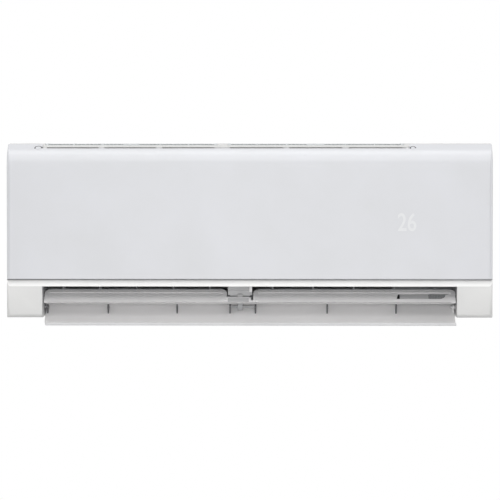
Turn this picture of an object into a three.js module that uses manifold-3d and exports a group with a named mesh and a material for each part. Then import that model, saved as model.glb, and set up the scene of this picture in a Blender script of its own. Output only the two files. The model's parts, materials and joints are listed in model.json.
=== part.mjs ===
// Indoor unit of a mini split air conditioner, wall mounted, in millimetres.
// +X is the viewer's right, the front faces -Y and +Z is up. The wall is the plane Y = 0, and the
// origin lies on the wall plate's back, at mid width and mid height of the casing.
import * as THREE from "three";
import { mergeVertices } from "three/addons/utils/BufferGeometryUtils.js";
import Module from "manifold-3d";

const wasm = await Module();
wasm.setup();

// ---------------------------------------------------------------- overall sizes
const WIDTH = 800;
const HEIGHT = 287;
const DEPTH = 200;
const LEFT = -WIDTH / 2;
const RIGHT = WIDTH / 2;
const TOP = HEIGHT / 2;
const BOTTOM = -HEIGHT / 2;
const FRONT = -DEPTH;

// ---------------------------------------------------------------- walls and clearances
const WALL = 2.5; // moulded casing walls
const GAP = 0.4; // between pieces that lie against each other
const PIN_GAP = 0.5; // round a pin in its hole
const SWING_GAP = 0.9; // round the path of a louver's edge
const SHEET = 1.5; // steel sheet

// ---------------------------------------------------------------- casing
const SEAM = 26; // rear casing's depth, where the front frame begins
const END_BLOCK = 58.5; // width of the casing beside the outlet
const OUTLET_LEFT = LEFT + END_BLOCK;
const OUTLET_RIGHT = RIGHT - END_BLOCK;
const RAIL_FOOT = 51.5; // lower lip of the rail above the bottom
const RAIL_TOP = 61.5;
const RAIL_SLOPE = 5.5; // how far the rail's face leans back
const BLOCK_ROUND = 6; // rounding under the end blocks, which stand square beside the outlet
const BELLY_BACK = 62; // where the shut louver's line meets the flat bottom
const BELLY_BULGE = 13; // how far it bulges past its chord
const STRIP_BACK = 60; // where the top's sloping front strip meets the flat top
const STRIP_FALL = 0.16; // how fast that strip falls towards the front
const SHOULDER_UP = 0.3; // beside the intake, the strip falls to this far above the panel's top edge
const CORNER = 6; // rounding of the upright front edges

// ---------------------------------------------------------------- front panel
const PANEL_FOOT = 63;
const PANEL_CURVE = 40.5; // below the top, where the panel starts to curve back
const PANEL_PULL = 18; // control point of that curve, below the top
const PANEL_CROWN_BACK = 16;
const PANEL_CROWN_DOWN = 8.5;
const WING_BACK = 12.3; // beside the intake, the panel's top runs on this much further back
const WING_RISE = 7.2; // and this much higher
const WING_PULL = [6.8, 4.2]; // control point of its curve, from the top edge
const WING_REACH = 12.5; // how far its edge swings round the hinge
const PANEL_WALL = 2.6;
const PANEL_FLANGE = 10;
const DECK_SETBACK = 11; // frame's deck behind the panel's face
const HINGE_BACK = 4; // hinge axis behind and below the panel's top edge
const HINGE_DOWN = 2;
const HINGE_SWING = 3.6; // radius that the panel's edge needs
const HINGE_PIN = 1.6;
const HINGE_EAR = 3;
const HINGE_EAR_WIDTH = 4;
const HINGE_RIGHT_INSET = 142; // right hinge from the right end; the left one is at the outlet's end

// ---------------------------------------------------------------- air intake and filters
const INTAKE_LEFT = LEFT + 60;
const INTAKE_RIGHT = RIGHT - 144;
const MIDDLE_RIB_LEFT = -54; // wide rib between the two filters
const MIDDLE_RIB_RIGHT = -37;
const BAYS = 3; // for each filter
const BAY_CELLS = 3; // across a bay
const BAY_ROWS = 2; // along its depth
const BAY_RIB = 5;
const CELL_RIB = 3;
const GRILLE = 3.6; // thickness of the grille under the filters
const FILTER = 4;
const FILTER_BORDER = 7;
const FILTER_REAR = 34;
const FILTER_FRONT_BACK = 40;
const FILTER_FRONT_DOWN = (STRIP_BACK - FILTER_FRONT_BACK) * STRIP_FALL;
const FILTER_BAR = 2.4;
const SLOT_HEIGHT = 2.6; // slots between strip and panel

// ---------------------------------------------------------------- machine layout along X
const MACHINE_BAY = 159; // right end: motor and controls
const FAN_CHEEK_RIGHT = RIGHT - MACHINE_BAY;
const COIL_LEFT = LEFT + 70;
const COIL_RIGHT = FAN_CHEEK_RIGHT - 8;
const FAN_LEFT = LEFT + 70;
const FAN_RIGHT = FAN_CHEEK_RIGHT - 6;

// ---------------------------------------------------------------- fan
const FAN_RADIUS = 43;
const FAN_BLADES = 14;
const BLADE_DEPTH = 11;
const BLADE_WALL = 1.6;
const DISC = 3;
const FAN_DISCS = 4;
const SHAFT = 4;
const HUB = 12;
const HUB_DEPTH = 20;
const SCROLL_START = 47; // scroll's radius at its upper lip and at its lowest point
const SCROLL_END = 60;
const SCROLL_FROM = 50; // degrees, measured from the rear upwards
const SCROLL_TO = -93;
const BEARING = 11.6;
const MOTOR_RADIUS = 42;
const MOTOR_LENGTH = 62;

// ---------------------------------------------------------------- evaporator
const FIN_DEPTH = 26;
const TUBE = 3.5;
const TUBE_GAP = 0.6;
const TUBE_SIDES = 6;
const BEND_STEPS = 4;
const LOWER_TUBES = 5;
const UPPER_TUBES = 4;
const REAR_TUBES = 5;

// ---------------------------------------------------------------- outlet
const FLOW_TILT = Math.PI / 4; // air leaves forwards and down
const DUCT_HALF = 29; // half the height of the duct, across the flow
const ROOF_REACH = 23.3; // how far the sloping roof runs past the vertical vanes' axis
const TROUGH_BACK = 16; // drain trough's front wall, and its rim
const TROUGH_RIM = 95.5;
const SPIGOT = 8;
const SPIGOT_BORE = 5.5;
const VANE_HALF_LENGTH = 14;
const VANE_HALF_HEIGHT = 27;
const VANE_WALL = 1.6;
const VANE_PIN = 1.8;
const VANES_PER_GANG = 5;
const LINK_HEIGHT = 10; // link bar above the vane's middle
const LINK_BACK = 11.5; // link bar behind the vane's axis
const LINK_THICK = 2.4;
const LINK_WIDE = 5;
const LINK_PIN = 0.9;

// ---------------------------------------------------------------- louvers
const LOUVER_OPEN = THREE.MathUtils.degToRad(67.5);
const LOUVER_SIDE = 2; // gap to the outlet's ends
const LOUVER_LIP = 7;
const LOUVER_WALL = 2.6;
const LOUVER_END_GAP = 2.5; // degrees left open at the louver's edges when it is shut
const LOUVER_PIN = 2.4;
const LOUVER_RIB = 2.2;
const COUPLER_NOSE = 3; // the louver motor's coupler: its nose in the louver, its disc and its shaft
const COUPLER = 5.4;
const COUPLER_SHAFT = 2.4;
const UPPER_CHORD = 35;
const UPPER_TILT = THREE.MathUtils.degToRad(35);
const UPPER_WALL = 2.6;
const UPPER_PIN = 2;
const BRACKET_LEFT = -36;
const BRACKET_RIGHT = 4;
const BRACKET_GAP = 2;
const WEB_LEFT = -20;
const WEB_RIGHT = -12;
const RIBS_LEFT = [88, 202]; // louver ribs, counted from the ribs beside the bracket
const RIBS_RIGHT = [117, 231];
const INSERT_INSET = 10; // vane insert from the outlet's right end
const INSERT_LENGTH = 92;

// ---------------------------------------------------------------- points and outlines
const low = (back, up) => [FRONT + back, BOTTOM + up];
const high = (back, down) => [FRONT + back, TOP - down];
const rear = (out, up) => [-out, BOTTOM + up];
const minus = (a, b) => [a[0] - b[0], a[1] - b[1]];
const plus = (a, b) => [a[0] + b[0], a[1] + b[1]];
const radians = THREE.MathUtils.degToRad;

function bend(from, pull, to, steps) {
  const v = (p) => new THREE.Vector2(...p);
  return new THREE.QuadraticBezierCurve(v(from), v(pull), v(to)).getPoints(steps).map((p) => [p.x, p.y]);
}

function arc(centre, radius, from, to, steps) {
  return Array.from({ length: steps + 1 }, (_, i) => {
    const a = from + ((to - from) * i) / steps;
    return [centre[0] + radius * Math.cos(a), centre[1] + radius * Math.sin(a)];
  });
}

// The circle through a and b whose arc bulges to the right of the way from a to b.
function bulged(a, b, bulge) {
  const [dy, dz] = minus(b, a);
  const chord = Math.hypot(dy, dz);
  const radius = (chord * chord) / 8 / bulge + bulge / 2;
  const reach = radius - bulge;
  const centre = [(a[0] + b[0]) / 2 - (dz / chord) * reach, (a[1] + b[1]) / 2 + (dy / chord) * reach];
  const angle = (p) => Math.atan2(p[1] - centre[1], p[0] - centre[0]);
  return { centre, radius, from: angle(a), to: angle(b) };
}

// An open line moved to its right.
function beside(line, distance) {
  return line.map((p, i) => {
    const a = line[Math.max(i - 1, 0)];
    const b = line[Math.min(i + 1, line.length - 1)];
    const [dy, dz] = minus(b, a);
    const length = Math.hypot(dy, dz);
    return [p[0] + (dz / length) * distance, p[1] - (dy / length) * distance];
  });
}

// ---------------------------------------------------------------- solids
function toSolid(geometry) {
  geometry.deleteAttribute("normal");
  geometry.deleteAttribute("uv");
  const merged = mergeVertices(geometry, 1e-4);
  return new wasm.Manifold(
    new wasm.Mesh({
      numProp: 3,
      vertProperties: merged.attributes.position.array,
      triVerts: new Uint32Array(merged.index.array),
    }),
  );
}

function outlineShape(outline, holes = []) {
  const vectors = (points) => points.map((p) => new THREE.Vector2(...p));
  const shape = new THREE.Shape(vectors(outline));
  shape.holes = holes.map((hole) => new THREE.Path(vectors(hole)));
  return shape;
}

function extruded(outline, depth, holes) {
  return new THREE.ExtrudeGeometry(outlineShape(outline, holes), { depth, bevelEnabled: false });
}

// A side outline of [y, z] points, carried along X.
function prism(outline, x0, x1, holes = []) {
  const geometry = extruded(outline, x1 - x0, holes);
  const turn = new THREE.Matrix4().makeBasis(
    new THREE.Vector3(0, 1, 0),
    new THREE.Vector3(0, 0, 1),
    new THREE.Vector3(1, 0, 0),
  );
  return toSolid(geometry.applyMatrix4(turn).translate(x0, 0, 0));
}

// A plan outline of [x, y] points, carried up.
function pillar(outline, z0, z1) {
  return toSolid(extruded(outline, z1 - z0).translate(0, 0, z0));
}

function box(x0, x1, y0, y1, z0, z1) {
  const geometry = new THREE.BoxGeometry(x1 - x0, y1 - y0, z1 - z0);
  return toSolid(geometry.translate((x0 + x1) / 2, (y0 + y1) / 2, (z0 + z1) / 2));
}

// A round rod along X about the point [y, z].
function rod(centre, radius, x0, x1, sides = 16) {
  const geometry = new THREE.CylinderGeometry(radius, radius, x1 - x0, sides);
  return toSolid(geometry.rotateZ(-Math.PI / 2).translate((x0 + x1) / 2, ...centre));
}

// A round rod along Y.
function bolt(x, z, radius, y0, y1, sides = 12) {
  const geometry = new THREE.CylinderGeometry(radius, radius, y1 - y0, sides);
  return toSolid(geometry.translate(x, (y0 + y1) / 2, z));
}

function pipe(points, radius, steps, sides = 8) {
  const path = new THREE.CatmullRomCurve3(points.map((p) => new THREE.Vector3(...p)), false, "centripetal");
  const section = arc([0, 0], radius, 0, 2 * Math.PI, sides).slice(0, -1);
  const options = { steps, extrudePath: path, bevelEnabled: false };
  return toSolid(new THREE.ExtrudeGeometry(outlineShape(section), options));
}

const join = (...solids) => solids.reduce((a, b) => a.add(b));
const cut = (solid, ...tools) => tools.reduce((a, b) => a.subtract(b), solid);

// ---------------------------------------------------------------- scene graph
const unit = new THREE.Group();
unit.name = "mini_split_indoor_unit";

const FINISH = {
  panel: [0xe4e5e8, 0.35, 0],
  casing: [0xededec, 0.45, 0],
  louver: [0xc9c8c8, 0.5, 0],
  dark: [0x77777a, 0.6, 0],
  inner: [0x55565a, 0.6, 0],
  filter: [0xd5d7d8, 0.7, 0],
  fin: [0xb9c0c4, 0.45, 0.9],
  steel: [0xa6a9ab, 0.4, 0.9],
  copper: [0xb8734a, 0.3, 0.95],
  brass: [0xc9a65a, 0.35, 0.95],
  rubber: [0x26262a, 0.85, 0],
  board: [0x2f6b45, 0.6, 0],
  lens: [0xf4f6f8, 0.3, 0],
};

function piece(name, solid, finish, group = unit) {
  const mesh = solid.getMesh();
  const geometry = new THREE.BufferGeometry();
  geometry.setAttribute("position", new THREE.BufferAttribute(mesh.vertProperties, 3));
  geometry.setIndex(new THREE.BufferAttribute(mesh.triVerts, 1));
  const [color, roughness, metalness] = FINISH[finish];
  const made = new THREE.Mesh(geometry, new THREE.MeshStandardMaterial({ color, roughness, metalness }));
  made.name = name;
  group.add(made);
  return made;
}

// ---------------------------------------------------------------- shared lines of the casing
const panelLine = [
  low(0, PANEL_FOOT),
  ...bend(high(0, PANEL_CURVE), high(0, PANEL_PULL), high(PANEL_CROWN_BACK, PANEL_CROWN_DOWN), 8),
];
const crown = panelLine.at(-1);
const wingTip = plus(crown, [WING_BACK, WING_RISE]);
const wingLine = [panelLine.at(-2), ...bend(crown, plus(crown, WING_PULL), wingTip, 4)];
const hingeAxis = plus(crown, [HINGE_BACK, -HINGE_DOWN]);
const riserY = hingeAxis[0] + HINGE_SWING;
const deckLine = beside(panelLine, DECK_SETBACK);
const deckY = FRONT + DECK_SETBACK;
const stripFront = [riserY, TOP - (FRONT + STRIP_BACK - riserY) * STRIP_FALL];
const shoulderZ = crown[1] + SHOULDER_UP;
const belly = bulged(low(0, RAIL_FOOT), low(BELLY_BACK, 0), BELLY_BULGE);
const stripTop = high(STRIP_BACK, 0);

// Axes of the louvers, the vertical vanes and the fan.
const louverAxis = low(45.3, 15.7);
const upperAxis = low(32, 33.7);
const vaneAxis = low(67, 48.5);
const fanAxis = low(112, 97.5);

// The duct's own axes: back runs against the flow, up runs across it.
const upstream = [Math.cos(FLOW_TILT), Math.sin(FLOW_TILT)];
const across = [-Math.sin(FLOW_TILT), Math.cos(FLOW_TILT)];
const inDuct = (back, up) => [
  vaneAxis[0] + upstream[0] * back + across[0] * up,
  vaneAxis[1] + upstream[1] * back + across[1] * up,
];

const louverEdge = (() => {
  const edge = arc(belly.centre, belly.radius, belly.to - radians(LOUVER_END_GAP), belly.to, 1)[0];
  return Math.hypot(...minus(edge, louverAxis)) + SWING_GAP;
})();
const louverSweep = () => rod(louverAxis, louverEdge, OUTLET_LEFT, OUTLET_RIGHT, 32);

function roundedPlan(radius) {
  const corner = (x, from, to) => arc([x, FRONT + radius], radius, from, to, 4);
  return [
    ...corner(LEFT + radius, Math.PI, 1.5 * Math.PI),
    ...corner(RIGHT - radius, 1.5 * Math.PI, 2 * Math.PI),
    [RIGHT, 10],
    [LEFT, 10],
  ];
}
const planBlock = () => pillar(roundedPlan(CORNER), BOTTOM - 10, TOP + 10);

// Beside the intake the panel's top swings in a channel across the frame's top.
const hingeEars = [OUTLET_LEFT + 1, RIGHT - HINGE_RIGHT_INSET];
const channels = [
  [LEFT - 1, hingeEars[0] - 2 * GAP],
  [hingeEars[1] + HINGE_EAR_WIDTH + 2 * GAP, RIGHT + 1],
];
const channelBack = hingeAxis[0] + WING_REACH + SWING_GAP;
const channel = (grow) =>
  channels.map(([x0, x1]) =>
    box(x0 - grow, x1 + grow, FRONT - 1, channelBack + grow, deckLine.at(-1)[1] - grow, TOP + 1),
  );

// ---------------------------------------------------------------- front frame
const bays = [
  [INTAKE_LEFT, MIDDLE_RIB_LEFT],
  [MIDDLE_RIB_RIGHT, INTAKE_RIGHT],
];

function frameOutline(inset) {
  const round = [FRONT + BLOCK_ROUND, BOTTOM + BLOCK_ROUND];
  const deck = beside(deckLine, inset);
  const deckEnd = deck.at(-1);
  const drop = inset * 0.9;
  return [
    [-SEAM, BOTTOM + inset],
    ...arc(round, BLOCK_ROUND - inset, -Math.PI / 2, -Math.PI, 4),
    [FRONT + inset, BOTTOM + RAIL_FOOT + inset * 0.4],
    [FRONT + RAIL_SLOPE + inset, BOTTOM + RAIL_TOP - inset * 0.5],
    ...deck.slice(0, -1),
    [deckEnd[0], deckEnd[1]],
    [riserY + inset, deckEnd[1]],
    [riserY + inset, shoulderZ - drop],
    [stripTop[0], TOP - inset],
    [-SEAM, TOP - inset],
  ];
}

function intakeGrille() {
  const under = TOP - FILTER - GRILLE - GAP;
  const front = riserY + WALL / 2;
  const plate = prism(
    [
      [-SEAM, TOP - WALL / 2],
      [-SEAM, under],
      [stripTop[0], under],
      [front, stripFront[1] - FILTER - GRILLE],
      [front, stripFront[1] - WALL / 2],
      [stripTop[0], TOP - WALL / 2],
    ],
    INTAKE_LEFT - 8,
    INTAKE_RIGHT + 8,
  );
  // The strip in front of the filters stands above the shell's own slope.
  const strip = prism(
    [
      [riserY, shoulderZ - WALL / 2],
      stripFront,
      [stripTop[0] - GAP, TOP - GAP * STRIP_FALL],
      [stripTop[0] - GAP, TOP - WALL],
    ],
    LEFT,
    RIGHT,
  );
  const cells = [];
  const cellRear = -FILTER_REAR - FILTER_BORDER / 2;
  const cellFront = FRONT + FILTER_FRONT_BACK + FILTER_BORDER;
  const cellDepth = (cellRear - cellFront) / BAY_ROWS;
  for (const [from, to] of bays) {
    const bay = (to - from) / BAYS;
    const cell = (bay - BAY_RIB) / BAY_CELLS;
    for (let b = 0; b < BAYS; b++)
      for (let i = 0; i < BAY_CELLS; i++)
        for (let j = 0; j < BAY_ROWS; j++) {
          const x = from + b * bay + BAY_RIB / 2 + i * cell;
          const y = cellFront + j * cellDepth;
          const half = CELL_RIB / 2;
          cells.push(box(x + half, x + cell - half, y, y + cellDepth - CELL_RIB, TOP - 20, TOP + 1));
        }
  }
  return { plate: join(plate, strip), cells };
}

function filterOutline(gap) {
  const front = FRONT + FILTER_FRONT_BACK - gap;
  const depth = FILTER + gap;
  return [
    [-FILTER_REAR + gap, TOP],
    [-FILTER_REAR + gap, TOP - depth],
    [stripTop[0], TOP - depth],
    [front, TOP - FILTER_FRONT_DOWN - depth],
    [front, TOP - FILTER_FRONT_DOWN],
    [stripTop[0], TOP],
  ];
}

// The seat is open above the filter, so it reaches past the top.
function filterSeat(from, to) {
  const line = filterOutline(GAP);
  return prism([[line[0][0], TOP + 5], ...line.slice(1, 4), [line[4][0], TOP + 5]], from, to);
}

function baySlots() {
  return bays.flatMap(([from, to]) => {
    const bay = (to - from) / BAYS;
    return Array.from({ length: BAYS }, (_, i) =>
      box(
        from + i * bay + BAY_RIB,
        from + (i + 1) * bay - BAY_RIB,
        riserY - 2,
        riserY + WALL + 4,
        stripFront[1] - SLOT_HEIGHT - 0.6,
        stripFront[1] - 0.6,
      ),
    );
  });
}

function hingeEar(x) {
  const reach = prism(
    [
      [hingeAxis[0], hingeAxis[1] - HINGE_EAR],
      [riserY + 1, hingeAxis[1] - HINGE_EAR - 2],
      [riserY + 1, hingeAxis[1] + 1],
      [hingeAxis[0], hingeAxis[1] + HINGE_EAR - 1],
    ],
    x,
    x + HINGE_EAR_WIDTH,
  );
  const eye = rod(hingeAxis, HINGE_EAR, x, x + HINGE_EAR_WIDTH, 16);
  return cut(join(reach, eye), rod(hingeAxis, HINGE_PIN + PIN_GAP / 2, x - 1, x + HINGE_EAR_WIDTH + 1, 12));
}

const serviceOpening = {
  x: [COIL_LEFT - 20, FAN_CHEEK_RIGHT - 16],
  z: [BOTTOM + 83.5, TOP - 31.5],
};
const screwXs = [LEFT + 100, (BRACKET_LEFT + BRACKET_RIGHT) / 2, RIGHT - 120];
const SCREW_UP = 71.5;
const BUTTON = { x: RIGHT - 60, up: 113, radius: 4.5 };

function frontFrame() {
  const inside = frameOutline(WALL).map(([y, z]) => [y === -SEAM ? 0 : y, z]);
  const hollow = cut(prism(inside, LEFT + WALL, RIGHT - WALL), ...channel(WALL));
  const shell = cut(prism(frameOutline(0), LEFT, RIGHT), hollow).intersect(planBlock());
  const { plate, cells } = intakeGrille();
  const outletCut = prism(
    [
      [FRONT - 5, BOTTOM + RAIL_FOOT - 0.2],
      [deckY + WALL, BOTTOM + RAIL_FOOT - 0.2],
      louverAxis,
      [FRONT + BELLY_BACK, BOTTOM - 5],
      [FRONT - 5, BOTTOM - 5],
    ],
    OUTLET_LEFT,
    OUTLET_RIGHT,
  );
  // Closes each block's side between its own outline and the shut louver's line.
  const blockSide = (x) =>
    cut(
      prism(
        [
          [FRONT + WALL / 2, BOTTOM + RAIL_FOOT],
          [FRONT + WALL / 2, BOTTOM + BLOCK_ROUND],
          [FRONT + BLOCK_ROUND, BOTTOM + WALL / 2],
          [FRONT + BELLY_BACK, BOTTOM + WALL / 2],
          [FRONT + BELLY_BACK, BOTTOM + RAIL_FOOT],
        ],
        x,
        x + WALL,
      ),
      rod(belly.centre, belly.radius - WALL, x - 1, x + WALL + 1, 96),
    );
  const service = box(...serviceOpening.x, FRONT, riserY - 4, ...serviceOpening.z);
  const screwHoles = screwXs.map((x) => bolt(x, BOTTOM + SCREW_UP, 2.4, FRONT, riserY));
  const buttonHole = bolt(BUTTON.x, BOTTOM + BUTTON.up, BUTTON.radius + PIN_GAP, FRONT, riserY, 20);
  return cut(
    join(shell, plate, ...hingeEars.map(hingeEar), blockSide(OUTLET_LEFT - WALL), blockSide(OUTLET_RIGHT)),
    ...channel(0),
    ...cells,
    ...bays.map(([from, to]) => filterSeat(from, to)),
    ...baySlots(),
    outletCut,
    louverSweep(),
    service,
    buttonHole,
    ...screwHoles,
  );
}

// ---------------------------------------------------------------- front panel
function frontPanel() {
  const crownEnd = beside(panelLine, PANEL_WALL).at(-1);
  const flangeLine = beside(panelLine, PANEL_FLANGE);
  const whole = prism([...panelLine, crownEnd, ...flangeLine.reverse()], LEFT, RIGHT);
  const foot = BOTTOM + PANEL_FOOT + PANEL_WALL;
  const inside = [[FRONT + PANEL_WALL, foot], ...beside(panelLine, PANEL_WALL).slice(1)];
  const hollow = prism(
    [...inside, [riserY + 30, crownEnd[1] - 1], [riserY + 30, foot]],
    LEFT + PANEL_WALL,
    RIGHT - PANEL_WALL,
  );
  const lug = (x) =>
    prism(
      [
        plus(hingeAxis, [0, HINGE_PIN]),
        plus(hingeAxis, [0, -HINGE_PIN - 0.6]),
        plus(hingeAxis, [-9, -9]),
        plus(hingeAxis, [-9, -3.2]),
      ],
      x,
      x + HINGE_EAR_WIDTH,
    );
  const hinges = hingeEars.map((x) => {
    const outside = x < 0 ? x - HINGE_EAR_WIDTH - GAP : x + HINGE_EAR_WIDTH + GAP;
    const pinFrom = Math.min(outside, x);
    const pin = rod(hingeAxis, HINGE_PIN, pinFrom, pinFrom + 2 * HINGE_EAR_WIDTH + GAP, 12);
    return join(lug(outside), pin);
  });
  const notches = hingeEars.map((x) =>
    rod(hingeAxis, HINGE_EAR + SWING_GAP, x - GAP, x + HINGE_EAR_WIDTH + GAP, 20),
  );
  const wingOutline = [...wingLine, ...beside(wingLine, PANEL_WALL).reverse()];
  const wings = channels.map(([x0, x1]) =>
    prism(wingOutline, Math.max(x0 + SWING_GAP, LEFT), Math.min(x1 - SWING_GAP, RIGHT)),
  );
  return join(cut(join(cut(whole, hollow), ...wings).intersect(planBlock()), ...notches), ...hinges);
}

// ---------------------------------------------------------------- filters
function filter([from, to]) {
  const x0 = from + GAP;
  const x1 = to - GAP;
  const body = prism(filterOutline(0), x0, x1);
  const bay = (to - from) / BAYS;
  const half = bay / 2;
  const windows = [];
  const rearY = -FILTER_REAR - FILTER_BORDER;
  const frontY = FRONT + FILTER_FRONT_BACK + FILTER_BORDER;
  const rows = 3;
  const row = (rearY - frontY + FILTER_BAR) / rows;
  for (let b = 0; b < 2 * BAYS; b++)
    for (let r = 0; r < rows; r++) {
      const left = from + b * half + (b === 0 ? FILTER_BORDER : FILTER_BAR / 2);
      const right = from + (b + 1) * half - (b === 2 * BAYS - 1 ? FILTER_BORDER : FILTER_BAR / 2);
      const y = frontY + r * row;
      windows.push(box(left, right, y, y + row - FILTER_BAR, TOP - 20, TOP + 5));
    }
  const grip = box((x0 + x1) / 2 - 14, (x0 + x1) / 2 + 14, frontY - 4, frontY + 1, TOP - 4, TOP + 2);
  return join(cut(body, ...windows), grip);
}

// ---------------------------------------------------------------- wall plate
const PLATE = { left: -280, right: 280, bottomUp: 93.5, topDown: 26 };
const PLATE_HOLES = [-220, -60, 60, 220];
const HOOK_X = [-150, 150];
const HOOK_WIDTH = 30;
const BACK_WALL = 13.5; // back wall's rear face from the wall
const hookZ = TOP - 33;

function wallPlate() {
  const sheet = box(PLATE.left, PLATE.right, -SHEET, 0, BOTTOM + PLATE.bottomUp, TOP - PLATE.topDown);
  const holes = PLATE_HOLES.flatMap((x) =>
    [0.2, 0.75].map((share) =>
      bolt(x, BOTTOM + PLATE.bottomUp + share * (HEIGHT - PLATE.bottomUp - PLATE.topDown), 3, -5, 1, 10),
    ),
  );
  const reach = BACK_WALL + WALL + SHEET + 1.2;
  const hooks = HOOK_X.map((x) =>
    join(
      box(x - HOOK_WIDTH / 2, x + HOOK_WIDTH / 2, -reach, -SHEET / 2, hookZ - 2, hookZ),
      box(x - HOOK_WIDTH / 2, x + HOOK_WIDTH / 2, -reach, -reach + SHEET, hookZ - 2, hookZ + 11),
    ),
  );
  const catches = HOOK_X.map((x) =>
    box(x - 12, x + 12, -BACK_WALL + GAP, -SHEET / 2, BOTTOM + PLATE.bottomUp, BOTTOM + PLATE.bottomUp + 2),
  );
  return join(cut(sheet, ...holes), ...hooks, ...catches);
}

// ---------------------------------------------------------------- rear casing
const scrollAt = (degrees) =>
  SCROLL_START + ((SCROLL_END - SCROLL_START) * (SCROLL_FROM - degrees)) / (SCROLL_FROM - SCROLL_TO);

function scrollLine(offset, steps = 14) {
  return Array.from({ length: steps + 1 }, (_, i) => {
    const degrees = SCROLL_FROM + ((SCROLL_TO - SCROLL_FROM) * i) / steps;
    const a = radians(degrees);
    const r = scrollAt(degrees) + offset;
    return [fanAxis[0] + r * Math.cos(a), fanAxis[1] + r * Math.sin(a)];
  });
}

const TROUGH_UP = 138.5; // floor of the rear drain trough
const CHANNEL_TOP_UP = 86; // top of the pipe channel
const tongue = low(65.5, 87.5);
const ductFloorStart = low(106, 37.4);

function rearCasing() {
  const ring = cut(
    box(LEFT, RIGHT, -SEAM + GAP, -2, BOTTOM, TOP),
    box(LEFT + WALL, RIGHT - WALL, -SEAM - 1, 1, BOTTOM + WALL, TOP - WALL),
  );
  const backWall = cut(
    box(LEFT + 1, RIGHT - 1, -BACK_WALL - WALL, -BACK_WALL, BOTTOM + 1, TOP - 1),
    box(LEFT + 40, RIGHT - 100, -30, 0, BOTTOM + WALL, BOTTOM + CHANNEL_TOP_UP),
    ...HOOK_X.map((x) =>
      box(x - HOOK_WIDTH / 2 - 3, x + HOOK_WIDTH / 2 + 3, -30, 0, hookZ - 17, hookZ + GAP),
    ),
  );
  const left = OUTLET_LEFT - WALL - GAP;
  const inner = scrollLine(0);
  const outer = scrollLine(WALL).reverse();
  const lip = plus(inner[0], [-3, 14]);
  const scroll = prism(
    [
      ...inner,
      ...outer.slice(0, -3),
      [-BACK_WALL - 1, BOTTOM + TROUGH_UP - WALL - 12],
      [-BACK_WALL - 1, BOTTOM + TROUGH_UP],
      plus(lip, [WALL, -10]),
      plus(lip, [WALL, 0]),
      lip,
    ],
    left + WALL / 2,
    FAN_CHEEK_RIGHT - WALL / 2,
  );
  const cheekLine = [
    [-BACK_WALL - 1, BOTTOM + TROUGH_UP + 4],
    [-BACK_WALL - 1, BOTTOM + CHANNEL_TOP_UP + 3],
    ...scrollLine(WALL / 2).slice(6, -1),
    plus(tongue, [5, -1]),
    plus(tongue, [5, 4]),
    plus(fanAxis, [-20, SCROLL_START + 4]),
  ];
  const cheek = (x, hole) => cut(prism(cheekLine, x, x + WALL), rod(fanAxis, hole, x - 1, x + WALL + 1, 24));
  const cradle = (x) =>
    cut(
      prism(
        [
          [-BACK_WALL - 1, fanAxis[1] - 2],
          [-BACK_WALL - 1, BOTTOM + CHANNEL_TOP_UP + 3],
          [-24, BOTTOM + CHANNEL_TOP_UP - 3],
          plus(fanAxis, [MOTOR_RADIUS + 3, -MOTOR_RADIUS + 2]),
          plus(fanAxis, [-8, -MOTOR_RADIUS - 8]),
          plus(fanAxis, [-8, -4]),
        ],
        x,
        x + 3,
      ),
      rod(fanAxis, MOTOR_RADIUS + GAP, x - 1, x + 4, 32),
    );
  return join(
    ring,
    backWall,
    scroll,
    cheek(left, BEARING + GAP),
    cheek(FAN_CHEEK_RIGHT - WALL, HUB + 2),
    cradle(FAN_CHEEK_RIGHT + 8),
    cradle(FAN_CHEEK_RIGHT + 46),
  );
}

// ---------------------------------------------------------------- outlet duct with drain trough
const vaneStations = (from, to) => {
  const step = (to - from) / VANES_PER_GANG;
  return Array.from({ length: VANES_PER_GANG }, (_, i) => from + step * (i + 0.5));
};
const gangs = {
  left: vaneStations(OUTLET_LEFT, BRACKET_LEFT),
  right: vaneStations(BRACKET_RIGHT, OUTLET_RIGHT),
};

// A solid made in the duct's own axes about the vertical vanes' station.
const turnIntoDuct = (solid) =>
  solid.rotate([THREE.MathUtils.radToDeg(FLOW_TILT), 0, 0]).translate([0, ...vaneAxis]);

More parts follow.
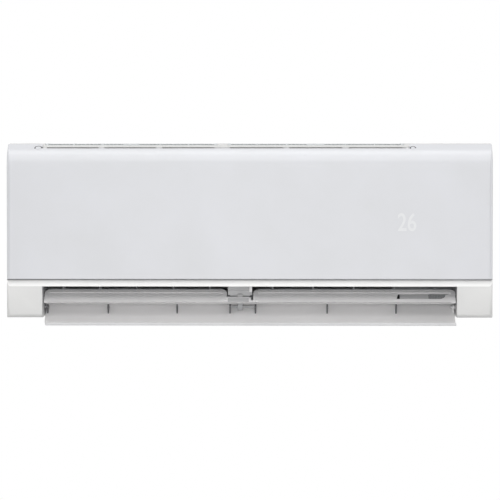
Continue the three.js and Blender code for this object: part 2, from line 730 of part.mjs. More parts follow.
function outletDuct() {
  const roofFront = inDuct(-ROOF_REACH, DUCT_HALF);
  const shelfZ = roofFront[1];
  const troughY = FRONT + TROUGH_BACK;
  const roof = prism(
    [
      tongue,
      inDuct(15, DUCT_HALF),
      roofFront,
      [deckY + WALL + GAP, shelfZ],
      [deckY + WALL + GAP, shelfZ + WALL],
      [troughY, shelfZ + WALL],
      [troughY, BOTTOM + TROUGH_RIM],
      [troughY + WALL, BOTTOM + TROUGH_RIM],
      [troughY + WALL, shelfZ + WALL],
      inDuct(0.9 - ROOF_REACH, DUCT_HALF + WALL),
      inDuct(12.5, DUCT_HALF + WALL),
      plus(tongue, [-3, 3.5]),
    ],
    OUTLET_LEFT - WALL,
    OUTLET_RIGHT + WALL,
  );
  const floorLine = [ductFloorStart, inDuct(14, -32.5), inDuct(0, -DUCT_HALF), inDuct(-29, -DUCT_HALF)];
  const floorEnd = [FRONT + 60, BOTTOM + WALL + GAP];
  const floor = prism(
    [...floorLine, floorEnd, plus(floorEnd, [4, 0]), ...beside(floorLine, -WALL).reverse()],
    OUTLET_LEFT - WALL,
    OUTLET_RIGHT + WALL,
  );
  const wallArc = arc(belly.centre, belly.radius - WALL - GAP, belly.from + 0.1, belly.to - 0.02, 8);
  const wallLine = [
    plus(tongue, [0, 2]),
    inDuct(15, DUCT_HALF + 1),
    inDuct(0.9 - ROOF_REACH, DUCT_HALF + WALL),
    [deckY + WALL + GAP, shelfZ + WALL],
    [deckY + WALL + GAP, shelfZ],
    ...wallArc.filter(([y, z]) => y < floorEnd[0] - 2 && z < shelfZ - 1),
    plus(floorEnd, [2, 0.3]),
    inDuct(-10, -DUCT_HALF - 1),
    inDuct(0, -DUCT_HALF - 1),
    ductFloorStart,
  ];
  const end = (x, axleHole) =>
    cut(
      prism(wallLine, x, x + WALL),
      rod(louverAxis, axleHole, x - 1, x + WALL + 1),
      rod(upperAxis, UPPER_PIN + PIN_GAP, x - 1, x + WALL + 1),
    );
  const troughEnd = (x) =>
    prism(
      [
        [troughY, BOTTOM + TROUGH_RIM],
        [troughY, shelfZ + 1],
        inDuct(0.4 - ROOF_REACH, DUCT_HALF + 1),
        inDuct(14, DUCT_HALF + 1),
        plus(tongue, [-3, 3.5]),
      ],
      x,
      x + WALL,
    );
  const blank = turnIntoDuct(
    box(FAN_CHEEK_RIGHT + GAP, OUTLET_RIGHT + 1, 18, 18 + WALL, -DUCT_HALF - 3.6, DUCT_HALF + 0.2),
  );
  const pinHoles = [...gangs.left, ...gangs.right].map((x) => {
    const hole = new THREE.CylinderGeometry(VANE_PIN + PIN_GAP, VANE_PIN + PIN_GAP, 2 * DUCT_HALF + 16, 8);
    return turnIntoDuct(toSolid(hole.rotateX(Math.PI / 2)).translate([x, 0, 0]));
  });
  const spigotAt = [troughY + 9, shelfZ + 11];
  const spigot = (x0, x1) => rod(spigotAt, SPIGOT, x0, x1, 16);
  const spigotBores = [
    rod(spigotAt, SPIGOT_BORE, OUTLET_LEFT - 40, OUTLET_LEFT + 1, 12),
    rod(spigotAt, SPIGOT_BORE, OUTLET_RIGHT - 1, OUTLET_RIGHT + 40, 12),
  ];
  const duct = join(
    roof,
    floor,
    end(OUTLET_LEFT - WALL, LOUVER_PIN + PIN_GAP),
    end(OUTLET_RIGHT, COUPLER + 0.7),
    troughEnd(OUTLET_LEFT - WALL),
    troughEnd(OUTLET_RIGHT),
    blank,
    spigot(OUTLET_LEFT - 26, OUTLET_LEFT - 1),
    spigot(OUTLET_RIGHT + 1, OUTLET_RIGHT + 18),
  );
  const screwPilots = screwXs.map((x) => bolt(x, BOTTOM + SCREW_UP, 2.2, troughY - 2, troughY + 4));
  return {
    solid: cut(duct, louverSweep(), ...spigotBores, ...pinHoles, ...screwPilots),
    spigotAt,
  };
}

// ---------------------------------------------------------------- vertical vanes and link bars
function vane() {
  const plate = box(
    -VANE_WALL / 2, VANE_WALL / 2, -VANE_HALF_LENGTH, VANE_HALF_LENGTH, -VANE_HALF_HEIGHT, VANE_HALF_HEIGHT,
  );
  const pinLength = DUCT_HALF + WALL;
  const pin = new THREE.CylinderGeometry(VANE_PIN, VANE_PIN, 2 * pinLength, 6);
  const notch = box(
    -2, 2, LINK_BACK - LINK_WIDE / 2 - 1.2, VANE_HALF_LENGTH + 1,
    LINK_HEIGHT - LINK_THICK / 2 - GAP, LINK_HEIGHT + LINK_THICK / 2 + GAP,
  );
  const link = new THREE.CylinderGeometry(LINK_PIN, LINK_PIN, LINK_THICK + 4, 6);
  return join(
    cut(join(plate, toSolid(pin.rotateX(Math.PI / 2))), notch),
    toSolid(link.rotateX(Math.PI / 2).translate(0, LINK_BACK, LINK_HEIGHT)),
  );
}

function linkBar(stations) {
  const bar = box(
    stations[0] - 6, stations.at(-1) + 6, LINK_BACK - LINK_WIDE / 2, LINK_BACK + LINK_WIDE / 2,
    LINK_HEIGHT - LINK_THICK / 2, LINK_HEIGHT + LINK_THICK / 2,
  );
  const holes = stations.map((x) => {
    const hole = new THREE.CylinderGeometry(LINK_PIN + PIN_GAP, LINK_PIN + PIN_GAP, LINK_THICK + 2, 6);
    return toSolid(hole.rotateX(Math.PI / 2).translate(x, LINK_BACK, LINK_HEIGHT));
  });
  return cut(bar, ...holes);
}

// ---------------------------------------------------------------- louvers
const louverLeft = OUTLET_LEFT + LOUVER_SIDE;
const louverRight = OUTLET_RIGHT - LOUVER_SIDE;
const ribXs = [
  louverLeft + 3,
  ...RIBS_LEFT.map((step) => BRACKET_LEFT + BRACKET_GAP - step),
  BRACKET_LEFT + BRACKET_GAP,
  BRACKET_RIGHT + BRACKET_GAP + LOUVER_RIB,
  ...RIBS_RIGHT.map((step) => BRACKET_RIGHT + BRACKET_GAP + step),
  louverRight - 3 - LOUVER_RIB,
];

// The lower louver is drawn shut, in the line of the casing's belly, about its own axis.
function lowerLouver() {
  const gap = radians(LOUVER_END_GAP);
  const [from, to] = [belly.from + gap, belly.to - gap];
  const outer = arc(belly.centre, belly.radius, from, to, 14);
  const inner = arc(belly.centre, belly.radius - LOUVER_WALL, from + radians(7), to, 12);
  const lip = arc(belly.centre, belly.radius - LOUVER_LIP, from, from + radians(2), 1);
  const skin = prism([...outer, ...inner.reverse(), ...lip.reverse()], louverLeft, louverRight);
  const footFrom = from + radians(44);
  const foot = arc(belly.centre, belly.radius - 1, footFrom, to - radians(7), 4);
  const eye = arc(louverAxis, 4.2, radians(-30), radians(190), 8);
  const ribs = ribXs.map((x) => prism([...foot, ...eye], x, x + LOUVER_RIB));
  const middlePin = rod(louverAxis, LOUVER_PIN, ribXs[3] + 1, ribXs[4] + 1, 12);
  const endPin = rod(louverAxis, LOUVER_PIN, OUTLET_LEFT - WALL + 0.6, ribXs[0] + 1, 12);
  const socket = rod(louverAxis, COUPLER_NOSE + GAP, ribXs.at(-1) - 1, louverRight + 1, 12);
  return cut(join(skin, ...ribs, middlePin, endPin), socket).translate([0, -louverAxis[0], -louverAxis[1]]);
}

const insertRight = OUTLET_RIGHT - INSERT_INSET;
const insertLeft = insertRight - INSERT_LENGTH;
const INSERT_FROM = -7; // window of the upper vane, along its chord
const INSERT_TO = 7.5;

// The upper vane is drawn flat, front edge towards -Y, about its own axis.
function upperVane() {
  const half = UPPER_CHORD / 2;
  const t = UPPER_WALL / 2;
  const skin = prism(
    [
      [-half, -t],
      [half - 1, -t],
      [half, 0.5],
      [half - 0.6, t + 2.2],
      [half - 5.6, t + 1.6],
      [half - 6.6, t],
      [-half + 1.2, t],
      [-half, 0],
    ],
    louverLeft,
    louverRight,
  );
  const ear = 5 + SWING_GAP;
  const notch = box(
    BRACKET_LEFT - BRACKET_GAP, BRACKET_RIGHT + BRACKET_GAP, -ear, half + 1, -8, 8,
  );
  const pinEye = (x) => rod([0, 0], UPPER_PIN + 1.2, x, x + 3, 12);
  const ends = [louverLeft, louverRight - 3, BRACKET_LEFT - BRACKET_GAP - 3, BRACKET_RIGHT + BRACKET_GAP];
  const pins = [
    rod([0, 0], UPPER_PIN, OUTLET_LEFT - WALL + 0.6, louverLeft + 1, 12),
    rod([0, 0], UPPER_PIN, louverRight - 1, OUTLET_RIGHT + WALL - 0.6, 12),
    rod([0, 0], UPPER_PIN, BRACKET_LEFT - BRACKET_GAP - 1, BRACKET_RIGHT + BRACKET_GAP + 1, 12),
  ];
  const windowCut = box(insertLeft, insertRight, INSERT_FROM, INSERT_TO, -8, 8);
  return join(cut(skin, notch, windowCut), ...ends.map(pinEye), ...pins);
}

function vaneInsert() {
  const t = UPPER_WALL / 2;
  const body = box(
    insertLeft + GAP, insertRight - GAP, INSERT_FROM + GAP, INSERT_TO - GAP, -t, t - 0.8,
  );
  const slots = [];
  for (let x = insertRight - 40; x < insertRight - 8; x += 5)
    slots.push(box(x, x + 2.4, INSERT_FROM + 3, INSERT_TO - 3, -5, 5));
  return cut(body, ...slots);
}

function centreBracket() {
  const top = DUCT_HALF - GAP - 0.2;
  const shelfZ = inDuct(-ROOF_REACH, DUCT_HALF)[1];
  const block = prism(
    [
      [FRONT + 28.5, shelfZ - GAP - 0.2],
      inDuct(-ROOF_REACH - 0.4, top),
      inDuct(0, top),
      inDuct(-0.7, top - 6.7),
      [FRONT + 50, BOTTOM + 43.5],
      [FRONT + 49.5, BOTTOM + 34.5],
      [FRONT + 34.6, BOTTOM + 34.5],
      [FRONT + 34.6, BOTTOM + 42],
      [FRONT + 31.5, BOTTOM + 45],
    ],
    BRACKET_LEFT,
    BRACKET_RIGHT,
  );
  const web = prism(
    [
      [FRONT + 36, BOTTOM + 40],
      [FRONT + 49.5, BOTTOM + 40],
      plus(louverAxis, [5, 0]),
      plus(louverAxis, [-5, 0]),
    ],
    WEB_LEFT,
    WEB_RIGHT,
  );
  const eye = (at, radius) => rod(at, radius, WEB_LEFT, WEB_RIGHT, 20);
  return cut(
    join(block, web, eye(louverAxis, 5.6), eye(upperAxis, 4.8)),
    rod(louverAxis, LOUVER_PIN + PIN_GAP, WEB_LEFT - 1, WEB_RIGHT + 1, 12),
    rod(upperAxis, UPPER_PIN + PIN_GAP, BRACKET_LEFT - 1, BRACKET_RIGHT + 1, 12),
  );
}

// ---------------------------------------------------------------- fan, shafts and motor
function fan() {
  const inside = FAN_RADIUS - BLADE_DEPTH;
  const blade = (angle) => {
    const at = (r, turn) => {
      const a = angle + turn;
      return [fanAxis[0] + r * Math.cos(a), fanAxis[1] + r * Math.sin(a)];
    };
    const wall = BLADE_WALL / FAN_RADIUS;
    return prism(
      [
        at(inside, 0), at(FAN_RADIUS - 0.4, 0.14), at(FAN_RADIUS - 0.4, 0.14 + wall), at(inside, wall),
      ],
      FAN_LEFT + 1,
      FAN_RIGHT - 1,
    );
  };
  const blades = Array.from({ length: FAN_BLADES }, (_, i) => blade((2 * Math.PI * i) / FAN_BLADES));
  const step = (FAN_RIGHT - FAN_LEFT - DISC) / (FAN_DISCS - 1);
  const discs = Array.from({ length: FAN_DISCS }, (_, i) => {
    const x = FAN_LEFT + i * step;
    const disc = rod(fanAxis, FAN_RADIUS, x, x + DISC, 28);
    const closed = i === 0 || i === FAN_DISCS - 1;
    return closed ? disc : cut(disc, rod(fanAxis, inside - 1, x - 1, x + DISC + 1, 24));
  });
  const hubs = [
    rod(fanAxis, HUB, FAN_LEFT, FAN_LEFT + HUB_DEPTH, 20),
    rod(fanAxis, HUB, FAN_RIGHT - HUB_DEPTH, FAN_RIGHT, 20),
  ];
  const bores = [
    rod(fanAxis, SHAFT + GAP, FAN_LEFT - 1, FAN_LEFT + HUB_DEPTH - 3, 16),
    rod(fanAxis, SHAFT + GAP, FAN_RIGHT - HUB_DEPTH + 3, FAN_RIGHT + 1, 16),
  ];
  return cut(join(...discs, ...blades, ...hubs), ...bores);
}

const motorLeft = FAN_CHEEK_RIGHT + 5;
const motorRight = motorLeft + MOTOR_LENGTH;

function motor() {
  const can = join(
    rod(fanAxis, MOTOR_RADIUS, motorLeft + 4, motorRight - 4, 32),
    rod(fanAxis, MOTOR_RADIUS - 6, motorLeft, motorRight, 32),
  );
  return cut(can, rod(fanAxis, SHAFT + GAP, motorLeft - 1, motorRight - 20, 16));
}

function motorClamp() {
  const x0 = FAN_CHEEK_RIGHT + 23;
  const x1 = x0 + 20;
  const band = cut(
    rod(fanAxis, MOTOR_RADIUS + GAP + 2.4, x0, x1, 40),
    rod(fanAxis, MOTOR_RADIUS + GAP, x0 - 1, x1 + 1, 40),
    box(x0 - 1, x1 + 1, fanAxis[0] - 80, fanAxis[0] + 80, fanAxis[1] - 80, fanAxis[1]),
  );
  const inner = MOTOR_RADIUS + GAP;
  const foot = box(
    x0, x1, fanAxis[0] + inner + 0.2, -BACK_WALL - WALL - GAP, fanAxis[1], fanAxis[1] + 2.4,
  );
  return join(band, foot);
}

// ---------------------------------------------------------------- evaporator
const lowerFoot = low(35, 83.5);
const knee = high(40, 96);
const apexFront = high(95, 25.5);
const apexRear = high(105, 25.5);
const rearFoot = rear(32, 165.5);
const APEX_GAP = 1;
const apexY = FRONT + 100;

function slabOutline(from, to, grow = 0) {
  const [dy, dz] = minus(to, from);
  const length = Math.hypot(dy, dz);
  const u = [dy / length, dz / length];
  const n = [u[1], -u[0]];
  const h = FIN_DEPTH / 2 + grow;
  const corner = (p, along, side) => [
    p[0] + u[0] * along * grow + n[0] * side * h,
    p[1] + u[1] * along * grow + n[1] * side * h,
  ];
  return [corner(from, -1, 1), corner(to, 1, 1), corner(to, 1, -1), corner(from, -1, -1)];
}

function tubesAlong(from, to, count) {
  return Array.from({ length: count }, (_, i) => {
    const share = (i + 0.5) / count;
    return [from[0] + (to[0] - from[0]) * share, from[1] + (to[1] - from[1]) * share];
  });
}

const tubeRows = {
  lower: tubesAlong(lowerFoot, knee, LOWER_TUBES),
  upper: tubesAlong(plus(knee, [2, 3]), apexFront, UPPER_TUBES),
  rear: tubesAlong(apexRear, rearFoot, REAR_TUBES),
};
const allTubes = [...tubeRows.lower, ...tubeRows.upper, ...tubeRows.rear];
const tubeBores = (row) => row.map((at) => arc(at, TUBE + TUBE_GAP, 0, 2 * Math.PI, TUBE_SIDES).slice(0, -1));

const tubeRod = (at, radius, x0, x1) =>
  prism(arc(at, radius, 0, 2 * Math.PI, TUBE_SIDES).slice(0, -1), x0, x1);

function finPack(from, to, row, ...cuts) {
  return cut(prism(slabOutline(from, to), COIL_LEFT, COIL_RIGHT, tubeBores(row)), ...cuts);
}

function endPlate(x) {
  const plate = join(
    prism(slabOutline(lowerFoot, knee), x, x + SHEET),
    prism(slabOutline(knee, apexFront), x, x + SHEET),
    prism(slabOutline(apexRear, rearFoot), x, x + SHEET),
  );
  return cut(plate, ...allTubes.map((at) => tubeRod(at, TUBE + TUBE_GAP, x - 1, x + SHEET + 1)));
}

function coil() {
  const left = COIL_LEFT - SHEET - 3;
  const right = COIL_RIGHT + SHEET + 3;
  const straights = allTubes.map((at, i) => {
    const first = i === 0 || i === allTubes.length - 1;
    return tubeRod(at, TUBE, left, first ? right + 4 : right);
  });
  const bends = allTubes.slice(1).map((at, i) => {
    const before = allTubes[i];
    const side = i % 2 === 0 ? -1 : 1;
    const x = side < 0 ? left + 1 : right - 1;
    const middle = [(at[0] + before[0]) / 2, (at[1] + before[1]) / 2];
    const reach = [before[0] - middle[0], before[1] - middle[1]];
    const bow = Math.hypot(...reach);
    const points = arc([0, 0], 1, 0, Math.PI, BEND_STEPS).map(([c, s]) => [
      x + side * s * bow,
      middle[0] + c * reach[0],
      middle[1] + c * reach[1],
    ]);
    return pipe(points, TUBE, BEND_STEPS, TUBE_SIDES);
  });
  return join(...straights, ...bends);
}

// ---------------------------------------------------------------- pipes and flare nuts
const LIQUID = { radius: 3.2, nut: 9, end: 50, y: -8, z: BOTTOM + 33 };
const GAS = { radius: 6, nut: 13, end: 90, y: -12.5, z: BOTTOM + 60 };
const pipeStart = COIL_RIGHT + SHEET + 7 + GAP;

function liquidPipe() {
  const [y, z] = allTubes[0];
  const x = motorLeft + 11;
  return pipe(
    [
      [pipeStart, y, z], [pipeStart + 8, y, z], [x, y + 2, z + 12], [x, y + 8, fanAxis[1] + MOTOR_RADIUS + 2],
      [x, y + 22, fanAxis[1] + MOTOR_RADIUS + 12], [x, -44, fanAxis[1] + MOTOR_RADIUS + 10],
      [x, -30, fanAxis[1] + MOTOR_RADIUS - 6], [x, -28, fanAxis[1] - 10], [x, -26, LIQUID.z + 18],
      [x - 6, LIQUID.y - 4, LIQUID.z + 2], [x - 22, LIQUID.y, LIQUID.z],
      [LIQUID.end + 20, LIQUID.y, LIQUID.z], [LIQUID.end, LIQUID.y, LIQUID.z],
    ],
    LIQUID.radius,
    54,
  );
}

function gasPipe() {
  const [y, z] = allTubes.at(-1);
  const x = motorLeft + 54;
  return pipe(
    [
      [pipeStart, y, z], [pipeStart + 12, y, z], [x - 4, y + 2, z - 6], [x, -31, z - 24],
      [x, -31, fanAxis[1] + 6], [x, -30, GAS.z + 26], [x - 8, GAS.y - 7, GAS.z + 6], [x - 30, GAS.y, GAS.z],
      [GAS.end + 20, GAS.y, GAS.z], [GAS.end, GAS.y, GAS.z],
    ],
    GAS.radius,
    44,
  );
}

function flareNut({ radius, nut, end, y, z }) {
  const body = join(rod([y, z], nut, end - 10, end + 6, 6), rod([y, z], nut - 2, end + 5, end + 10, 12));
  return cut(
    body,
    rod([y, z], radius + GAP + 0.2, end - 3, end + 11, 12),
    rod([y, z], nut - 3.4, end - 11, end - 2, 12),
  );
}

// ---------------------------------------------------------------- controls
const controls = {
  left: RIGHT - 84,
  right: RIGHT - 8,
  bottom: BOTTOM + 98,
  top: TOP - 32,
  front: FRONT + 21,
};

function controlBox() {
  const { left, right, bottom, top, front } = controls;
  return cut(
    box(left, right, front, -62, bottom, top),
    box(left + 2, right - 2, front - 1, -64, bottom + 2, top - 2),
    box(left + 20, left + 50, -150, -110, bottom - 1, bottom + 3),
  );
}

function controlCover() {
  const { left, right, bottom, top, front } = controls;
  const back = front - GAP;
  return join(
    box(left, right, back - 1.6, back, bottom, top),
    box(left + 2 + GAP, right - 2 - GAP, back - 0.5, back + 5, bottom + 2 + GAP, bottom + 4),
    box(left + 2 + GAP, right - 2 - GAP, back - 0.5, back + 5, top - 4, top - 2 - GAP),
  );
}

function controlBoard() {
  const { left, right, bottom, top } = controls;
  const y = -68;
  return join(
    box(left + 3, right - 3, y, y + 1.6, bottom + 6, top - 6),
    box(left + 8, left + 34, y - 24, y + 0.5, bottom + 14, bottom + 38),
    box(left + 40, left + 62, y - 16, y + 0.5, bottom + 20, bottom + 34),
    box(left + 10, left + 30, y - 12, y + 0.5, bottom + 60, bottom + 84),
    rod([y - 10, bottom + 60], 6, left + 42, left + 62, 10),
    box(left + 42, left + 62, y - 10, y + 0.5, bottom + 56, bottom + 64),
  );
}

function terminalBlock() {
  const left = controls.left + 6;
  const z = controls.bottom - 24;
  const base = box(left, left + 60, -112, -92, z, z + 18);
  const wells = Array.from({ length: 5 }, (_, i) =>
    box(left + 3 + i * 11.2, left + 12 + i * 11.2, -116, -102, z + 4, z + 14),
  );
  return cut(base, ...wells);
}

function cordClamp() {
  const left = controls.left + 14;
  const z = controls.bottom - 36;
  return cut(
    box(left, left + 34, -108, -94, z, z + 10),
    rod([-101, z - 1], 5, left - 1, left + 35, 12),
  );
}

const display = { x: RIGHT - 141, up: 155.5 };

function displayBoard() {
  const z = BOTTOM + display.up;
  return box(display.x - 30, display.x + 30, deckY - GAP - 1.6, deckY - GAP, z - 20, z + 20);
}

function displayLens() {
  const z = BOTTOM + display.up;
  return box(display.x - 18, display.x + 18, FRONT + PANEL_WALL + GAP, deckY - 2 * GAP - 1.6, z - 17, z + 17);
}

function emergencyButton() {
  const z = BOTTOM + BUTTON.up;
  return join(
    bolt(BUTTON.x, z, BUTTON.radius, deckY - 3, deckY + WALL + 2, 16),
    bolt(BUTTON.x, z, BUTTON.radius + 2, deckY + WALL + GAP, deckY + WALL + 1.6, 16),
  );
}

function buttonSwitch() {
  const z = BOTTOM + BUTTON.up;
  const back = controls.front - 2 * GAP - 1.6;
  return box(BUTTON.x - 3.5, BUTTON.x + 3.5, deckY + WALL + 4.2, back, z - 3.5, z + 3.5);
}

function frameScrew(x) {
  const z = BOTTOM + SCREW_UP;
  return join(
    bolt(x, z, 4.2, deckY - GAP - 2.2, deckY - GAP, 14),
    bolt(x, z, 1.8, deckY - GAP - 1, deckY + 9, 10),
  );
}

function roomSensor() {
  return rod([FRONT + 26, TOP - 50], 2.6, COIL_RIGHT + 8, COIL_RIGHT + 34, 10);
}

const couplerEnd = OUTLET_RIGHT + WALL + 3.4;

function louverCoupler() {
  return join(
    rod(louverAxis, COUPLER_NOSE, ribXs.at(-1) - 1, OUTLET_RIGHT, 12),
    rod(louverAxis, COUPLER, OUTLET_RIGHT - 1, couplerEnd, 16),
    rod(louverAxis, COUPLER_SHAFT, couplerEnd - 1, couplerEnd + 7, 10),
  );
}

function louverMotor() {
  const left = couplerEnd + GAP;
  const body = plus(louverAxis, [3, 5]); // the geared shaft sits off the can's centre
  return cut(
    join(
      rod(body, 11, left, left + 19, 20),
      box(left, left + 1.2, body[0] - 4, body[0] + 18, body[1] - 4, body[1] + 4),
    ),
    rod(louverAxis, COUPLER_SHAFT + PIN_GAP, left - 1, left + 8, 12),
  );
}

function drainPlug(spigotAt) {
  return join(
    rod(spigotAt, SPIGOT_BORE - GAP, OUTLET_RIGHT + 6, OUTLET_RIGHT + 20, 12),
    rod(spigotAt, SPIGOT + 1, OUTLET_RIGHT + 18 + GAP, OUTLET_RIGHT + 23, 16),
  );
}

// ---------------------------------------------------------------- assembly
piece("front_frame", frontFrame(), "casing");
piece("front_panel", frontPanel(), "panel");
piece("left_filter", filter(bays[0]), "filter");
piece("right_filter", filter(bays[1]), "filter");
piece("wall_plate", wallPlate(), "steel");
piece("rear_casing", rearCasing(), "casing");

const duct = outletDuct();
piece("outlet_duct", duct.solid, "dark");
piece("centre_bracket", centreBracket(), "dark");
piece("drain_plug", drainPlug(duct.spigotAt), "rubber");

const apexCut = (side) => {
  const y = apexY + (side * APEX_GAP) / 2;
  return side < 0
    ? box(LEFT, RIGHT, y, 0, BOTTOM, TOP + 50)
    : box(LEFT, RIGHT, FRONT, y, BOTTOM, TOP + 50);
};
const kneeCut = prism(slabOutline(lowerFoot, knee, GAP), LEFT, RIGHT);
piece("front_lower_fins", finPack(lowerFoot, knee, tubeRows.lower), "fin");
piece("front_upper_fins", finPack(knee, apexFront, tubeRows.upper, kneeCut, apexCut(-1)), "fin");
piece("rear_fins", finPack(apexRear, rearFoot, tubeRows.rear, apexCut(1)), "fin");
piece("left_end_plate", endPlate(COIL_LEFT - SHEET - GAP), "steel");
piece("right_end_plate", endPlate(COIL_RIGHT + GAP), "steel");
piece("coil_tube", coil(), "copper");
piece("liquid_pipe", liquidPipe(), "copper");
piece("gas_pipe", gasPipe(), "copper");
piece("liquid_flare_nut", flareNut(LIQUID), "brass");
piece("gas_flare_nut", flareNut(GAS), "brass");

piece("cross_flow_fan", fan(), "inner");
piece("fan_stub_shaft", rod(fanAxis, SHAFT, OUTLET_LEFT - 12, FAN_LEFT + HUB_DEPTH - 4, 16), "steel");
piece(
  "fan_bearing",
  cut(
    rod(fanAxis, BEARING, OUTLET_LEFT - 10, OUTLET_LEFT + 4, 24),
    rod(fanAxis, SHAFT + GAP, OUTLET_LEFT - 11, OUTLET_LEFT + 5, 16),
  ),
  "rubber",
);
piece("motor_shaft", rod(fanAxis, SHAFT, FAN_RIGHT - HUB_DEPTH + 4, motorRight - 22, 16), "steel");
piece("fan_motor", motor(), "steel");
piece("motor_clamp", motorClamp(), "steel");

piece("control_box", controlBox(), "dark");
piece("control_board", controlBoard(), "board");
piece("control_box_cover", controlCover(), "dark");
piece("terminal_block", terminalBlock(), "inner");
piece("cord_clamp", cordClamp(), "dark");
piece("display_board", displayBoard(), "board");
piece("display_lens", displayLens(), "lens");
piece("emergency_button", emergencyButton(), "casing");
piece("button_switch", buttonSwitch(), "inner");
piece("room_sensor", roomSensor(), "copper");
screwXs.forEach((x, i) => piece(["left", "middle", "right"][i] + "_frame_screw", frameScrew(x), "steel"));

piece("louver_coupler", louverCoupler(), "inner");
piece("louver_motor", louverMotor(), "inner");

const louver = new THREE.Group();
louver.position.set(0, ...louverAxis);
louver.rotation.x = LOUVER_OPEN;
unit.add(louver);
piece("lower_louver", lowerLouver(), "louver", louver);

const upper = new THREE.Group();
upper.position.set(0, ...upperAxis);
upper.rotation.x = UPPER_TILT;
unit.add(upper);
piece("upper_vane", upperVane(), "louver", upper);
piece("vane_insert", vaneInsert(), "inner", upper);

for (const [side, stations] of Object.entries(gangs)) {
  const station = new THREE.Group();
  station.position.set(0, ...vaneAxis);
  station.rotation.x = FLOW_TILT;
  unit.add(station);
  stations.forEach((x, i) => {
    piece(`${side}_vane_${i + 1}`, vane(), "dark", station).position.x = x;
  });
  piece(`${side}_link_bar`, linkBar(stations), "inner", station);
}

export default unit;
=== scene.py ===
"""Looks of a mini split indoor unit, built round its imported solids.

Metres, +X right, -Y front, +Z up."""

import json
import math

import bmesh
import bpy
from mathutils import Matrix, Vector

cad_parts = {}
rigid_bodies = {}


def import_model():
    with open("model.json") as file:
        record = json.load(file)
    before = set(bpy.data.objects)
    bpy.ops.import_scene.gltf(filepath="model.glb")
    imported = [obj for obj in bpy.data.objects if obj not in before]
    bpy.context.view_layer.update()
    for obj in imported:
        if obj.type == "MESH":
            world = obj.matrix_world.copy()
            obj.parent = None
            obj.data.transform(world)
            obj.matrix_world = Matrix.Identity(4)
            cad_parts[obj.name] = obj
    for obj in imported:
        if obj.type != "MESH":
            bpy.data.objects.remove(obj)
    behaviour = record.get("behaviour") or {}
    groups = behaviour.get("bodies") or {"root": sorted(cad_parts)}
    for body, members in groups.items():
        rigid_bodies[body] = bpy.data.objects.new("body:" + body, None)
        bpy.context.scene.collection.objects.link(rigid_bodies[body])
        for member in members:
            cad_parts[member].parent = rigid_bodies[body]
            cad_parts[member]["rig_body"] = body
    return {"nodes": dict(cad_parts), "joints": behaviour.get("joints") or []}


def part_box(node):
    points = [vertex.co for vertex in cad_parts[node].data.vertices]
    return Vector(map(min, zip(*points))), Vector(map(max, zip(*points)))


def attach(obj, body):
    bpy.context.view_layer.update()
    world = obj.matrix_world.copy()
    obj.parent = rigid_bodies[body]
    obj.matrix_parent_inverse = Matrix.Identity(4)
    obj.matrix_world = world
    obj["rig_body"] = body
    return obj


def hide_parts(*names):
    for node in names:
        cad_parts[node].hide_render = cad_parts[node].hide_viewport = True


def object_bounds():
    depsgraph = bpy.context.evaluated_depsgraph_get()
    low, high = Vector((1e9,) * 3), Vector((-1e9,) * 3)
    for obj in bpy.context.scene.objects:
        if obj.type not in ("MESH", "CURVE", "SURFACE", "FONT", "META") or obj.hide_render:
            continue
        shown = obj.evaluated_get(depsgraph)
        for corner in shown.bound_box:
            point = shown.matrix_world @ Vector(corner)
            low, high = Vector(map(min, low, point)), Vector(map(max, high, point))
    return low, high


MM = 0.001

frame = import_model()
cad_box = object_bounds()
scene = bpy.context.scene
scene.view_settings.view_transform = "Standard"

# ------------------------------------------------------------------ camera
PICTURE = 500  # pixels across
PIXEL = 1.643 * MM  # what one of them covers at the panel's face
SENSOR = 36
DISTANCE = 4.5
SIDEWAYS, UPWARDS = 0.0154, 0.0315  # how far the eye stands off square, as shares of its distance

aim = Vector((1 * MM, cad_box[0][1], -32 * MM))
eye = aim + DISTANCE * Vector((SIDEWAYS, -1, UPWARDS))
camera = bpy.data.objects.new("camera", bpy.data.cameras.new("camera"))
camera.data.sensor_width = SENSOR
camera.data.lens = SENSOR * DISTANCE / (PICTURE * PIXEL)
camera.location = eye
camera.rotation_euler = (aim - eye).to_track_quat("-Z", "Y").to_euler()
scene.collection.objects.link(camera)
scene.camera = camera


# ------------------------------------------------------------------ materials
PATCH = 91  # mm, the size of the patches that dust and hands dull
CLOUD = 22.2  # mm, the size of the clouds on metal
SPOT = 6.25  # mm, over which the display's light varies


def linear(code):
    """An sRGB hex colour as linear RGBA."""
    parts = [int(code[i : i + 2], 16) / 255 for i in (1, 3, 5)]
    return [c / 12.92 if c <= 0.04045 else ((c + 0.055) / 1.055) ** 2.4 for c in parts] + [1.0]


def add(tree, kind, links=None, **settings):
    """A node with its attributes or unlinked inputs set, and its linked inputs."""
    node = tree.nodes.new(kind)
    for key, value in settings.items():
        if hasattr(node, key):
            setattr(node, key, value)
        else:
            node.inputs[key.replace("_", " ")].default_value = value
    for key, source in (links or {}).items():
        tree.links.new(source, node.inputs[key])
    return node


def blank(name):
    """A new material, its node tree and its shader."""
    material = bpy.data.materials.new(name)
    material.use_nodes = True
    tree = material.node_tree
    return material, tree, tree.nodes["Principled BSDF"]


